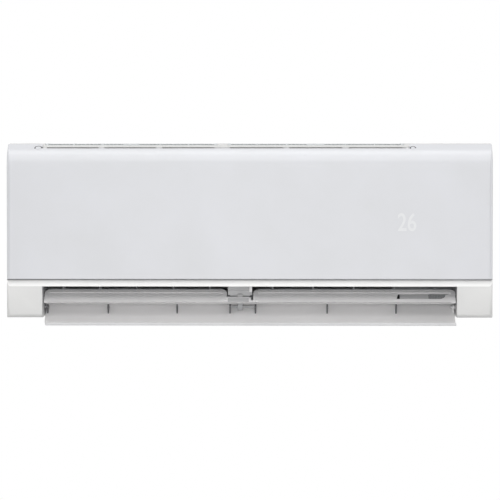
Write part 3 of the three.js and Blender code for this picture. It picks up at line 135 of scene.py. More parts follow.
def moulded_plastic(name, tint, worn, rough, grain, depth, ior=1.53):
    """Injection-moulded plastic. The size and depth of the mould's grain are in millimetres."""
    material, tree, shader = blank(name)
    shader.inputs["IOR"].default_value = ior
    place = add(tree, "ShaderNodeTexCoord").outputs["Object"]
    # patches barely darker and duller, as dust and handling leave them
    patches = add(
        tree, "ShaderNodeTexNoise", {"Vector": place}, Scale=1000 / PATCH, Detail=4, Roughness=0.6
    ).outputs["Fac"]
    colour = add(tree, "ShaderNodeValToRGB", {"Fac": patches})
    for stop, position, code in zip(colour.color_ramp.elements, (0.35, 0.7), (tint, worn)):
        stop.position = position
        stop.color = linear(code)
    tree.links.new(colour.outputs["Color"], shader.inputs["Base Color"])
    gloss = add(
        tree, "ShaderNodeMapRange", {"Value": patches}, To_Min=rough - 0.04, To_Max=rough + 0.05
    )
    tree.links.new(gloss.outputs["Result"], shader.inputs["Roughness"])
    texture = add(
        tree, "ShaderNodeTexNoise", {"Vector": place}, Scale=1000 / grain, Detail=2
    ).outputs["Fac"]
    bump = add(tree, "ShaderNodeBump", {"Height": texture}, Strength=0.5, Distance=depth * MM)
    tree.links.new(bump.outputs["Normal"], shader.inputs["Normal"])
    return material


def worked_metal(name, tint, worn, rough, grain, stretch, depth):
    """Bare or plated metal with the marks of drawing, rolling or turning, stretched one way.

    The marks' size and depth are in millimetres."""
    material, tree, shader = blank(name)
    shader.inputs["Metallic"].default_value = 1
    place = add(tree, "ShaderNodeTexCoord").outputs["Object"]
    along = add(tree, "ShaderNodeMapping", {"Vector": place}, Scale=stretch).outputs["Vector"]
    marks = add(tree, "ShaderNodeTexNoise", {"Vector": along}, Scale=1000 / grain, Detail=3)
    clouds = add(tree, "ShaderNodeTexNoise", {"Vector": place}, Scale=1000 / CLOUD, Detail=3)
    marks, clouds = marks.outputs["Fac"], clouds.outputs["Fac"]
    colour = add(
        tree, "ShaderNodeMix", {"Factor": clouds}, data_type="RGBA", A=linear(tint), B=linear(worn)
    )
    tree.links.new(colour.outputs["Result"], shader.inputs["Base Color"])
    gloss = add(
        tree, "ShaderNodeMapRange", {"Value": marks}, To_Min=rough - 0.08, To_Max=rough + 0.1
    )
    tree.links.new(gloss.outputs["Result"], shader.inputs["Roughness"])
    bump = add(tree, "ShaderNodeBump", {"Height": marks}, Strength=0.4, Distance=depth * MM)
    tree.links.new(bump.outputs["Normal"], shader.inputs["Normal"])
    return material


def led_light():
    """The display's segments inside the panel's skin: a white a little brighter than the panel."""
    material, tree, shader = blank("led_light")
    shader.inputs["Base Color"].default_value = linear("#D4D5D7")
    shader.inputs["Roughness"].default_value = 0.35
    shader.inputs["Emission Color"].default_value = linear("#FFFFFF")
    # the glow isn't quite even over a segment
    place = add(tree, "ShaderNodeTexCoord").outputs["Object"]
    uneven = add(
        tree, "ShaderNodeTexNoise", {"Vector": place}, Scale=1000 / SPOT, Detail=1
    ).outputs["Fac"]
    glow = add(tree, "ShaderNodeMapRange", {"Value": uneven}, To_Min=0.0, To_Max=0.04)
    tree.links.new(glow.outputs["Result"], shader.inputs["Emission Strength"])
    return material


# Polished ABS: the mould is polished, so only a faint ripple is left, and reflections are soft.
satin_abs = moulded_plastic("satin_abs", "#CECFD3", "#CCCDD0", 0.35, 6.0, 0.01)
# Textured ABS: spark-eroded mould, so highlights break up into a fine even grain.
textured_abs = moulded_plastic("textured_abs", "#D3D3D2", "#CFCFCE", 0.46, 0.9, 0.03)
# The sloped band under the panel, where the mould is polished: the same plastic, smoother, and
# painted paler, which is painted light on a band that sits in the shade of the panel's foot.
painted_light_band_abs = moulded_plastic("painted_light_band_abs", "#E7E7E6", "#E3E3E2", 0.38, 4.0, 0.01)
# Louver ABS: the same plastic as the casing, painted paler as painted light, to make up for the
# shade it sits in inside the outlet.
louver_abs = moulded_plastic("louver_abs", "#F6F5F5", "#F1F0F0", 0.42, 0.9, 0.02)
# Acetal of the vane's pins: dark grey, dull and slightly waxy. On the louver's ribs the same dark
# grey is painted shade, standing in for the shadows that the ribs cast.
dark_acetal_and_shade = moulded_plastic("dark_acetal_and_shade", "#5C5C5F", "#565659", 0.45, 1.2, 0.02, ior=1.48)
# Grey polystyrene of the air duct: dull, so the outlet behind the louvers stays quiet. On the
# centre bracket's lower part and on the louver's pins the same grey is painted shade, matching the
# shade under the vane.
duct_polystyrene_and_shade = moulded_plastic("duct_polystyrene_and_shade", "#AFB0B2", "#A9AAAC", 0.55, 1.1, 0.04)
# Paler grey polystyrene of the outlet's centre bracket. On the louver's lip edge the same grey is
# painted shade.
bracket_polystyrene_and_shade = moulded_plastic("bracket_polystyrene_and_shade", "#CACACB", "#C5C5C6", 0.5, 1.0, 0.03)
# Glass-filled polystyrene of the fan and the boxes: nearly black, dull, with a coarse flow texture.
# Round the hinge covers it is painted shade.
filled_polystyrene_and_shade = moulded_plastic("filled_polystyrene_and_shade", "#26272A", "#2E2F32", 0.6, 1.6, 0.05)
# Polypropylene of the filters: waxy, pale grey.
filter_polypropylene = moulded_plastic(
    "filter_polypropylene", "#C9CDCE", "#C2C6C7", 0.5, 1.2, 0.02, ior=1.49
)
# EPDM rubber of the plug and the bearing: matt black with a bloom.
epdm_rubber = moulded_plastic("epdm_rubber", "#1B1B1D", "#232325", 0.78, 0.8, 0.05)
# Polycarbonate of the display's lens: milky and smooth.
opal_polycarbonate = moulded_plastic(
    "opal_polycarbonate", "#ECEEF0", "#E8EAEC", 0.28, 3.0, 0.01, ior=1.585
)
# Green solder resist on a board of glass and epoxy: smooth, with the weave faint under it.
solder_resist = moulded_plastic("solder_resist", "#1D5A38", "#1A5133", 0.35, 1.4, 0.03, ior=1.55)
# Galvanised steel: rolled sheet with faint zinc clouds.
galvanised_steel = worked_metal(
    "galvanised_steel", "#B9BCBD", "#A5A9AB", 0.42, 2.5, (0.08, 1, 1), 0.01
)
# Copper tube, drawn: bright along its length, tarnished in clouds.
drawn_copper = worked_metal("drawn_copper", "#D3997A", "#AE7352", 0.32, 2.0, (0.1, 1, 1), 0.01)
# Brass flare nuts, turned from bar: fine rings round them.
turned_brass = worked_metal("turned_brass", "#D9B66A", "#C49C4F", 0.3, 1.2, (1, 0.2, 0.2), 0.01)
# Aluminium fins with a pale hydrophilic coating that dulls them.
coated_aluminium = worked_metal(
    "coated_aluminium", "#CBD5D8", "#BCC8CC", 0.4, 2.0, (1, 0.2, 0.2), 0.01
)
segment_light = led_light()


# ------------------------------------------------------------------ modelling helpers
SHARP = 32  # degrees between two faces, past which their edge is shaded sharp
NEARLY_FLAT = math.radians(1)
pieces = []


def keep(name, shape, material, body, replaced=(), sharp=SHARP):
    """Turns a bmesh into a piece of the unit that rides on a body."""
    mesh = bpy.data.meshes.new(name)
    shape.to_mesh(mesh)
    shape.free()
    mesh.materials.append(material)
    mesh.shade_smooth()
    mesh.set_sharp_from_angle(angle=math.radians(sharp))
    piece = bpy.data.objects.new(name, mesh)
    scene.collection.objects.link(piece)
    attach(piece, body)
    if replaced:
        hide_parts(*replaced)
    pieces.append(piece)
    return piece


def body_of(node):
    """The body that a CAD node rides on."""
    return frame["nodes"][node]["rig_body"]


def only(kind, parts):
    """The vertices, or the edges, among what an operator made."""
    return [part for part in parts if isinstance(part, kind)]


def join(shape, other):
    """Adds one shape to another."""
    mesh = bpy.data.meshes.new("joined")
    other.to_mesh(mesh)
    other.free()
    shape.from_mesh(mesh)
    bpy.data.meshes.remove(mesh)


def ease(shape, edges, radius, segments=2, clamp=False):
    """Rounds the given edges of a shape, as its mould leaves them."""
    bmesh.ops.bevel(
        shape, geom=list(edges), offset=radius, offset_type="OFFSET", affect="EDGES",
        segments=segments, profile=0.5, clamp_overlap=clamp, material=-1,
    )


def round_edges(shape, radius, segments=2, angle=30, where=None):
    """Eases the edges that turn by more than an angle in degrees and that `where` picks."""
    edges = [
        e
        for e in shape.edges
        if len(e.link_faces) == 2
        and e.calc_face_angle(0) > math.radians(angle)
        and (where is None or where(e))
    ]
    ease(shape, edges, radius, segments, clamp=True)
    return shape


def cad_copy(node):
    """A bmesh of a CAD node with its loose triangles joined and its flat faces whole."""
    same_point, same_plane = 0.002 * MM, math.radians(0.2)
    shape = bmesh.new()
    shape.from_mesh(frame["nodes"][node].data)
    bmesh.ops.remove_doubles(shape, verts=shape.verts, dist=same_point)
    bmesh.ops.dissolve_limit(shape, angle_limit=same_plane, verts=shape.verts, edges=shape.edges)
    return shape


def rounded_copy(node, material, radius, segments=2, where=None):
    """The CAD node with its edges rounded as a mould leaves them."""
    shape = round_edges(cad_copy(node), radius, segments, where=where)
    return keep(node + "_skin", shape, material, body_of(node), [node])


def longer_than(length):
    """A test for edges over a length."""
    return lambda edge: edge.calc_length() > length


def curve(a, pull, b, steps):
    """Points along a quadratic curve."""
    return [
        tuple((1 - t) ** 2 * p + 2 * t * (1 - t) * q + t * t * r for p, q, r in zip(a, pull, b))
        for t in (i / steps for i in range(steps + 1))
    ]


def arc(centre, radius, start, end, steps):
    """Points along an arc, its angles in degrees."""
    angles = [math.radians(start + (end - start) * i / steps) for i in range(steps + 1)]
    return [(centre[0] + radius * math.cos(a), centre[1] + radius * math.sin(a)) for a in angles]


def beside(line, distance):
    """An open side line moved to its right."""
    moved = []
    for i, (y, z) in enumerate(line):
        before, after = line[max(i - 1, 0)], line[min(i + 1, len(line) - 1)]
        along = Vector((after[0] - before[0], after[1] - before[1])).normalized()
        moved.append((y + along.y * distance, z - along.x * distance))
    return moved


def prism(outline, x0, x1):
    """A side outline of (y, z) points carried along X."""
    shape = bmesh.new()
    face = shape.faces.new([shape.verts.new((x0, y, z)) for y, z in outline])
    grown = bmesh.ops.extrude_face_region(shape, geom=[face])["geom"]
    bmesh.ops.translate(shape, verts=only(bmesh.types.BMVert, grown), vec=(x1 - x0, 0, 0))
    bmesh.ops.recalc_face_normals(shape, faces=shape.faces)
    return shape


def add_round(shape, radius, depth, place, sides, rim, segments=2):
    """Adds a cylinder to a shape, its two rims eased."""
    made = bmesh.ops.create_cone(
        shape, cap_ends=True, segments=sides, radius1=radius, radius2=radius, depth=depth,
        matrix=place,
    )["verts"]
    rims = {e for v in made for e in v.link_edges if e.calc_face_angle(0) > 1}
    ease(shape, rims, rim, segments)


def add_rod(shape, centre, radius, x0, x1, sides=24):
    """Adds a round rod along X to a shape."""
    place = Matrix.Translation(((x0 + x1) / 2, *centre)) @ Matrix.Rotation(math.pi / 2, 4, "Y")
    add_round(shape, radius, x1 - x0, place, sides, min(0.4 * MM, radius / 4))


def add_box(shape, middle, size):
    """Adds a plain box to a shape and gives its corners."""
    place = Matrix.Translation(middle) @ Matrix.Diagonal((*size, 1))
    return bmesh.ops.create_cube(shape, size=1, matrix=place)["verts"]


def add_block(shape, low, high, radius):
    """Adds a box between two corners to a shape, its edges eased."""
    size = [h - l for l, h in zip(low, high)]
    middle = [(h + l) / 2 for l, h in zip(low, high)]
    corners = add_box(shape, middle, size)
    ease(shape, {e for v in corners for e in v.link_edges}, radius)


def blocks(radius, *corners):
    """A shape of eased boxes, each between two corners."""
    shape = bmesh.new()
    for low, high in corners:
        add_block(shape, low, high, radius)
    return shape


# ------------------------------------------------------------------ the casing's lines, as packed
panel_low, panel_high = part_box("front_panel")
FRONT, LEFT, RIGHT = panel_low.y, panel_low.x, panel_high.x
FOOT = panel_low.z  # the panel's lower edge
TOP, BOTTOM = 143.5 * MM, -143.5 * MM
OUTLET = 341.5 * MM  # half the outlet's width
CROWN_EDGE = (FRONT + 16 * MM, 135 * MM)  # the panel's top edge in front of the intake
WING_TIP = (CROWN_EDGE[0] + 12.3 * MM, CROWN_EDGE[1] + 7.2 * MM)  # and beside it
WING_ENDS = (-342.2 * MM, 263.7 * MM)  # the intake's ends, where the wings start
joint_place = {j["name"]: Vector(j["pos_m"]) for j in frame["joints"] if "pos_m" in j}
hinge = joint_place["panel_hinge"]
louver_axis = joint_place["louver_swing"]
vane_axis = joint_place["upper_vane_swing"]

# ------------------------------------------------------------------ front panel
PANEL_WALL = 2.6 * MM
PANEL_FLANGE = 10 * MM  # how deep the rim behind the panel is
CURVE_FROM = TOP - 40.5 * MM  # where the face starts to lean back
CURVE_PULL = TOP - 18 * MM  # the higher this is, the later it leans
END_ROUND = 6 * MM  # rounding of the panel's ends
TIGHTER_FROM, TIGHTER_OVER = 112 * MM, 26 * MM  # from this height on that rounding gets tighter
TIGHTER = 0.75  # by this share in the end
SHALLOWER = 0.1  # share of the flange's depth that each step up the wing takes off
RIB_FOOT = 0.3 * MM  # how far a rib's foot stands in the panel's wall
HINGE_CAPS = ((-348.8 * MM, 4.9 * MM), (269.3 * MM, 3.6 * MM))  # places along X and radii


def lies_on(line, part):
    """Whether all corners of an edge or a face are points of a side line."""
    return all(any(math.dist(v.co.yz, point) < 0.01 * MM for point in line) for v in part.verts)


def on_wing(part):
    """Whether an edge or a face lies beside the intake."""
    middle = sum(v.co.x for v in part.verts) / len(part.verts)
    return not WING_ENDS[0] < middle < WING_ENDS[1]


def front_panel():
    """One moulding: a flat face that curves back at its crown, rounded ends and a rim behind it.

    Beside the intake the crown runs on further up."""
    crown = curve((FRONT, CURVE_FROM), (FRONT, CURVE_PULL), CROWN_EDGE, 20)
    face = [(FRONT, FOOT), (FRONT, FOOT + 60 * MM), *crown]
    back = beside(face, PANEL_FLANGE)
    shape = prism([*face, *reversed(back)], LEFT, RIGHT)
    ends = [
        e for e in shape.edges if lies_on(face, e) and abs(e.verts[0].co.x - e.verts[1].co.x) < MM
    ]
    ease(shape, ends, END_ROUND, 6)
    rounded_to = FRONT + END_ROUND - 0.1 * MM
    foot = [
        e for e in shape.edges
        if all(abs(v.co.z - FOOT) < 1e-6 and v.co.y < rounded_to for v in e.verts)
    ]
    ease(shape, foot, 1.4 * MM, 3)
    for x in WING_ENDS:
        everything = [*shape.verts, *shape.edges, *shape.faces]
        bmesh.ops.bisect_plane(shape, geom=everything, plane_co=(x, 0, 0), plane_no=(1, 0, 0))

    # the wall stays open behind, and at the wings' tops, which grow on from there
    rise = Vector((0, *(Vector(crown[-1]) - Vector(crown[-2])).normalized()))
    behind = [f for f in shape.faces if lies_on(back, f)]
    caps = [
        f for f in shape.faces
        if on_wing(f) and f.normal.dot(rise) > 0.98
        and f.calc_center_median().z > CROWN_EDGE[1] - 12 * MM
    ]
    bmesh.ops.delete(shape, geom=behind + caps, context="FACES")
    level = Vector((0, *CROWN_EDGE)).dot(rise)
    tops = [
        e for e in shape.edges
        if e.is_boundary and on_wing(e)
        and all(abs(v.co.dot(rise) - level) < 0.05 * MM for v in e.verts)
    ]
    wing = curve(CROWN_EDGE, (CROWN_EDGE[0] + 6.8 * MM, CROWN_EDGE[1] + 4.2 * MM), WING_TIP, 6)
    for count, (before, after) in enumerate(zip(wing, wing[1:])):
        grown = bmesh.ops.extrude_edge_only(shape, edges=tops)["geom"]
        moved = only(bmesh.types.BMVert, grown)
        tops = only(bmesh.types.BMEdge, grown)
        step = (0, after[0] - before[0], after[1] - before[1])
        bmesh.ops.translate(shape, verts=moved, vec=step)
        # the flange at the outer end gets shallower, so it clears the frame as the panel swings
        left_over = (1 - SHALLOWER * (count + 1)) / (1 - SHALLOWER * count)
        bmesh.ops.transform(
            shape, matrix=Matrix.Diagonal((1, left_over, left_over, 1)),
            space=Matrix.Translation((0, -after[0], -after[1])), verts=moved,
        )
    for v in shape.verts:
        # the ends' rounding gets tighter towards the top, where it shows as the corner's outline
        end = RIGHT if v.co.x > 0 else LEFT
        inset = end - v.co.x
        if abs(inset) < END_ROUND + 0.1 * MM and v.co.z > TIGHTER_FROM:
            share = min((v.co.z - TIGHTER_FROM) / TIGHTER_OVER, 1)
            v.co.x = end - inset * (1 - TIGHTER * share)
    bmesh.ops.recalc_face_normals(shape, faces=shape.faces)

    piece = keep("panel_cover", shape, satin_abs, "panel", ["front_panel"], sharp=40)
    touching = [0] * len(piece.data.edges)
    for corner in piece.data.loops:
        touching[corner.edge_index] += 1
    for edge, faces in zip(piece.data.edges, touching):
        # the wall's rims, once it has its thickness
        edge.use_edge_sharp = edge.use_edge_sharp or faces == 1
    wall = piece.modifiers.new("wall", "SOLIDIFY")
    wall.thickness = PANEL_WALL
    wall.offset = -1
    wall.use_even_offset = True


def panel_back():
    """Stiffening ribs and snap hooks behind the panel, and the lugs and pins that it turns on."""
    shape = bmesh.new()
    inside = FRONT + PANEL_WALL - RIB_FOOT
    for x in (-360, -240, -120, 0, 120, 222, 300, 372):  # upright ribs
        low = (x * MM - 0.7 * MM, inside, FOOT + 6 * MM)
        high = (x * MM + 0.7 * MM, inside + 3.4 * MM, TOP - 46 * MM)
        add_block(shape, low, high, 0.3 * MM)
    for z in (-50, 70):  # level ribs
        low = (LEFT + 8 * MM, inside, z * MM)
        high = (RIGHT - 8 * MM, inside + 2.6 * MM, z * MM + 1.4 * MM)
        add_block(shape, low, high, 0.3 * MM)
    for x in (-300, -40, 262):  # snap hooks
        low = (x * MM, inside, FOOT + 8 * MM)
        high = (x * MM + 12 * MM, inside + 6.5 * MM, FOOT + 10 * MM)
        add_block(shape, low, high, 0.4 * MM)
    y, z = hinge.y, hinge.z
    web = [
        (y, z + 1.6 * MM),
        (y, z - 2.2 * MM),
        (y - 9 * MM, z - 9 * MM),
        (y - 9 * MM, z - 3.2 * MM),
    ]
    for ear in (-340.5 * MM, 258 * MM):
        lug = ear - 4.4 * MM if ear < 0 else ear + 4.4 * MM
        join(shape, prism(web, lug, lug + 4 * MM))
        start = min(lug, ear)
        add_rod(shape, (y, z), 1.6 * MM, start, start + 8.4 * MM, 16)
    keep("panel_back", shape, satin_abs, "panel", ["front_panel"])


def hinge_caps():
    """Round covers over the hinge pins at the wings' inner ends.

    Each has a near-black ring round its upper side: painted shade, standing in for the shadow in
    the gap round the cover."""
    shadow_ring_inner, shadow_ring_outer = 0.1 * MM, 1.5 * MM  # out from the cover's edge
    low, high = -0.2 * MM, 0.45 * MM
    shadow_ring_start, shadow_ring_sweep = math.radians(-10), math.radians(215)
    slope = math.atan2(WING_TIP[1] - CROWN_EDGE[1], WING_TIP[0] - CROWN_EDGE[0])
    for count, (x, radius) in enumerate(HINGE_CAPS):
        centre = (x, CROWN_EDGE[0] + 1.2 * MM, CROWN_EDGE[1] + 0.6 * MM)
        seat = Matrix.Translation(centre) @ Matrix.Rotation(slope, 4, "X")
        cap = bmesh.new()
        add_round(cap, radius, 1.2 * MM, seat, 40, 0.4 * MM, 3)
        keep(f"hinge_cap_{count + 1}", cap, satin_abs, "panel")
        # a near-black ring round the cover, painted shade in place of the shadow in the gap round
        # it
        shadow_ring = bmesh.new()
        inner, outer = radius + shadow_ring_inner, radius + shadow_ring_outer
        section = ((inner, low), (outer, low), (outer, high), (inner, high))
        ring = shadow_ring.faces.new([shadow_ring.verts.new((out, 0, up)) for out, up in section])
        turn = Matrix.Rotation(shadow_ring_start, 3, "Z")
        bmesh.ops.rotate(shadow_ring, verts=shadow_ring.verts, cent=(0, 0, 0), matrix=turn)
        bmesh.ops.spin(
            shadow_ring, geom=[ring, *ring.edges, *ring.verts], cent=(0, 0, 0), axis=(0, 0, 1),
            dvec=(0, 0, 0), angle=shadow_ring_sweep, steps=30, use_merge=False, use_duplicate=False,
        )
        bmesh.ops.recalc_face_normals(shadow_ring, faces=shadow_ring.faces)
        bmesh.ops.transform(shadow_ring, matrix=seat, verts=shadow_ring.verts)
        keep(f"hinge_shadow_ring_{count + 1}", shadow_ring, filled_polystyrene_and_shade, "panel")


front_panel()
panel_back()
hinge_caps()


# ------------------------------------------------------------------ display
FIGURE_SIZE = 41 * MM  # of the type; its figures are somewhat lower
FIGURE_BOLD = 0.5 * MM  # how much fatter each stroke is drawn on either side
FIGURE_THICK = 0.06 * MM
FIGURE_NARROW = 0.78
FIGURE_X, FIGURE_Z = 259 * MM, 12 * MM


def digits(name, body, y, material):
    """The set temperature in plain figures, as the display shows it."""
    text = bpy.data.curves.new(name, "FONT")
    text.body = "26"
    text.size = FIGURE_SIZE
    text.offset = FIGURE_BOLD
    text.extrude = FIGURE_THICK
    text.align_x = "CENTER"
    text.align_y = "CENTER"
    holder = bpy.data.objects.new(name, text)
    scene.collection.objects.link(holder)
    holder.rotation_euler = (math.pi / 2, 0, 0)
    holder.location = (FIGURE_X, y, FIGURE_Z)
    holder.scale = (FIGURE_NARROW, 1, 1)
    bpy.context.view_layer.update()
    mesh = bpy.data.meshes.new_from_object(holder)
    mesh.transform(holder.matrix_world)
    bpy.data.objects.remove(holder)
    mesh.materials.clear()
    mesh.materials.append(material)
    piece = bpy.data.objects.new(name, mesh)
    scene.collection.objects.link(piece)
    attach(piece, body)


digits("display_figures", "panel", FRONT - 0.02 * MM, segment_light)

# ------------------------------------------------------------------ front frame
BAND_LOW, BAND_HIGH = FOOT - 12.2 * MM, FOOT - MM  # the sloped band under the panel
ROUNDED_TO = FRONT + 70 * MM  # edges further back stay as packed
LONG = 300 * MM


def frame_edge(e):
    """The long outer edges at the front: the rail's, the blocks' and the strip's."""
    a, b = (v.co for v in e.verts)
    middle = (a + b) / 2
    if middle.z < FOOT and middle.y < ROUNDED_TO:
        return abs(abs(middle.x) - OUTLET) < 0.1 * MM or abs(a.x - b.x) > LONG
    return False


front_frame = rounded_copy("front_frame", textured_abs, 1.1 * MM, 3, where=frame_edge)
front_frame.data.materials.append(painted_light_band_abs)
# the sloped band's faces take the paler plastic: painted light on the band in the panel's shade
for face in front_frame.data.polygons:
    sloped = face.normal.z > 0.2 and face.normal.y < -0.5
    if sloped and BAND_LOW < face.center.z < BAND_HIGH:
        face.material_index = 1

# ------------------------------------------------------------------ lower louver
BELLY_FROM = Vector((FRONT, BOTTOM + 51.5 * MM))  # the shut louver closes the casing's belly
BELLY_TO = Vector((FRONT + 62 * MM, BOTTOM))
BULGE = 13 * MM
LOUVER_OPEN = 67.5  # degrees from shut to the photographed pose
LOUVER_HALF = OUTLET - 1.2 * MM
LOUVER_WALL = 2.6 * MM
LIP_WALL = 4.6 * MM
RUN_IN, RUN_IN_FROM, RUN_IN_OVER = 3.6 * MM, BOTTOM + 20 * MM, 24 * MM  # the left end's slant
RIBS = (-337.6, -236.7, -122, -34, 8.2, 127.4, 241.8, 336.8)  # mm, the ribs' left faces
RIB = 2.2 * MM
LOUVER_PINS = ((-33, -17), (-14, 9.2), (-343.4, -335.5))  # mm, from and to

chord = BELLY_TO - BELLY_FROM
belly_radius = chord.length**2 / 8 / BULGE + BULGE / 2
inwards = Vector((-chord.y, chord.x)).normalized()
belly_centre = (BELLY_FROM + BELLY_TO) / 2 + inwards * (belly_radius - BULGE)


def belly_angle(y, z):
    """A point's angle about the belly's centre, in degrees from -360 to 0."""
    turn = math.degrees(math.atan2(z - belly_centre.y, y - belly_centre.x))
    return turn - 360 if turn > 0 else turn


LOUVER_FROM = belly_angle(*BELLY_FROM) + 2.5  # the flap stops short of the belly's ends
LOUVER_TO = belly_angle(*BELLY_TO) - 2.5
LIP_SHADE_TO = LOUVER_FROM + 2.6  # up to here the lip's edge is painted a shade greyer: painted shade
RIB_FROM, RIB_TO = LOUVER_FROM + 44, LOUVER_TO - 7


def keep_louver(name, shape, material):
    """Keeps a shape as a piece of the lower louver."""
    return keep(name, shape, material, "louver", ["lower_louver"])


def opened(shape):
    """Swings a shape that was drawn with the louver shut into the photographed pose."""
    turn = Matrix.Rotation(math.radians(LOUVER_OPEN), 3, "X")
    bmesh.ops.rotate(shape, verts=shape.verts, cent=louver_axis, matrix=turn)
    return shape


def louver_skin():
    """The curved flap, thicker along its lip, whose edge is painted a shade greyer: painted shade.
    """
    outer = arc(belly_centre, belly_radius, LOUVER_FROM, LOUVER_TO, 28)
    inner = arc(belly_centre, belly_radius - LOUVER_WALL, LOUVER_TO, LOUVER_FROM + 5, 24)
    lip = arc(belly_centre, belly_radius - LIP_WALL, LOUVER_FROM + 2, LOUVER_FROM + 0.4, 1)
    shape = prism([*outer, *inner, *lip], -LOUVER_HALF, LOUVER_HALF)
    for v in shape.verts:
        # the left end runs in a little towards the lip
        if v.co.x < 0 and v.co.z > RUN_IN_FROM:
            v.co.x += RUN_IN * min((v.co.z - RUN_IN_FROM) / RUN_IN_OVER, 1)
    round_edges(shape, 1.2 * MM, 4)
    # faces along the lip's edge take the greyer plastic: painted shade
    for f in shape.faces:
        middle = f.calc_center_median()
        f.material_index = 1 if belly_angle(middle.y, middle.z) < LIP_SHADE_TO else 0
    skin = keep_louver("louver_skin", opened(shape), louver_abs)
    skin.data.materials.append(bracket_polystyrene_and_shade)


def louver_rib(left):
    """A rib from the flap to an eye on the axle. Its left face's place is in millimetres."""
    foot = arc(belly_centre, belly_radius - 1 * MM, RIB_FROM, RIB_TO, 8)
    eye_line = arc((louver_axis.y, louver_axis.z), 4.2 * MM, -30, 190, 12)
    return round_edges(prism([*foot, *eye_line], left * MM, left * MM + RIB), 0.3 * MM)


def louver_ribs():
    """The ribs, dark grey as painted shade for the shadows they cast, the last of them as pale as
    the flap, and the pins that the louver turns on, grey as painted shade.
    """
    shape = bmesh.new()
    for left in RIBS[:-1]:
        join(shape, louver_rib(left))
    keep_louver("louver_end_rib", opened(louver_rib(RIBS[-1])), louver_abs)
    # the ribs are dark grey as painted shade, in place of the shadows they cast
    keep_louver("louver_ribs", opened(shape), dark_acetal_and_shade)
    pins = bmesh.new()
    for x0, x1 in LOUVER_PINS:
        add_rod(pins, (louver_axis.y, louver_axis.z), 1.7 * MM, x0 * MM, x1 * MM)
    # the pins take the duct grey, painted shade that matches the shaded flap round them
    keep_louver("louver_pins", pins, duct_polystyrene_and_shade)


louver_skin()
louver_ribs()

# ------------------------------------------------------------------ upper vane
# The vane is drawn flat about its axis: X along it, Y to its rear, Z up from its middle plane.
VANE_TILT = 35  # degrees, its front edge down
VANE_FRONT = -17.5 * MM
VANE_REAR = 15.5 * MM
VANE_CORNER = 8 * MM
NOTCH = (-38 * MM, 6 * MM)  # its ends, beside the centre bracket
NOTCH_DEPTH = -6 * MM
SLIT = 2.6 * MM  # right of here the notch runs on further, as a slit
SLIT_DEPTH = -13 * MM
SEAM_FRONT = -17.2 * MM
WINDOW = (242.8 * MM, 333.2 * MM)
GRILLE_ROWS, ROW_PITCH, ROW_WIDTH = 8, 2 * MM, 0.5 * MM
GRILLE_COLUMNS, COLUMN_PITCH, COLUMN_WIDTH = 14, 2.6 * MM, 0.6 * MM
VANE_PINS = ((-343.4, -338.5), (338.5, 343.4), (-39.5, -33), (1, 7.5))  # mm, from and to


def plan_loop(shape, points):
    """A closed loop of edges through points of the vane's plan."""
    verts = [shape.verts.new((x, y, 0)) for x, y in points]
    return [shape.edges.new((a, b)) for a, b in zip(verts, [*verts[1:], verts[0]])]


def vane_outline(inset):
    """The vane's plan, drawn in by an inset everywhere but at its front edge."""
    corner = max(VANE_CORNER - inset, 2 * MM)
    turn_in = VANE_REAR - inset - corner
    left, right = -LOUVER_HALF + inset, LOUVER_HALF - inset
    notch_left, notch_right = NOTCH[0] - inset, NOTCH[1] + inset
    slit_left, slit_right = SLIT - 0.3 * inset, NOTCH[1] + 0.3 * inset
    deep, deeper = NOTCH_DEPTH - inset, SLIT_DEPTH - 0.25 * inset
    return [
        (left, VANE_FRONT),
        *arc((left + corner, turn_in), corner, 180, 90, 8),
        *arc((notch_left - corner, turn_in), corner, 90, 0, 8),
        (notch_left, deep),
        (slit_left, deep),
        (slit_left, deeper),
        (slit_right, deeper),
        (slit_right, deep),
        (notch_right, deep),
        *arc((notch_right + corner, turn_in), corner, 180, 90, 8),
        *arc((right - corner, turn_in), corner, 90, 0, 8),
        (right, VANE_FRONT),
    ]


def vane_sheet(outline, hole, low, high, radius):
    """A sheet of the vane between two heights, with a hole through it and its edges eased."""
    shape = bmesh.new()
    loops = [*plan_loop(shape, outline), *plan_loop(shape, hole)]
    bmesh.ops.triangle_fill(shape, use_beauty=True, edges=loops)
    bmesh.ops.recalc_face_normals(shape, faces=shape.faces)
    if sum(f.normal.z for f in shape.faces) > 0:
        bmesh.ops.reverse_faces(shape, faces=shape.faces)
    grown = bmesh.ops.extrude_face_region(shape, geom=list(shape.faces), use_keep_orig=True)["geom"]
    bmesh.ops.translate(shape, verts=shape.verts, vec=(0, 0, low))
    bmesh.ops.translate(shape, verts=only(bmesh.types.BMVert, grown), vec=(0, 0, high - low))
    bmesh.ops.recalc_face_normals(shape, faces=shape.faces)
    bmesh.ops.dissolve_limit(shape, angle_limit=NEARLY_FLAT, verts=shape.verts, edges=shape.edges)
    return round_edges(shape, radius, angle=60)


def keep_vane(name, shape, material, node="upper_vane"):
    """Keeps a piece of the upper vane, tilted from the plane it was drawn in."""
    turn = Matrix.Translation(vane_axis) @ Matrix.Rotation(math.radians(VANE_TILT), 4, "X")
    bmesh.ops.transform(shape, matrix=turn, verts=shape.verts)
    keep(name, shape, material, "vane_upper", [node])


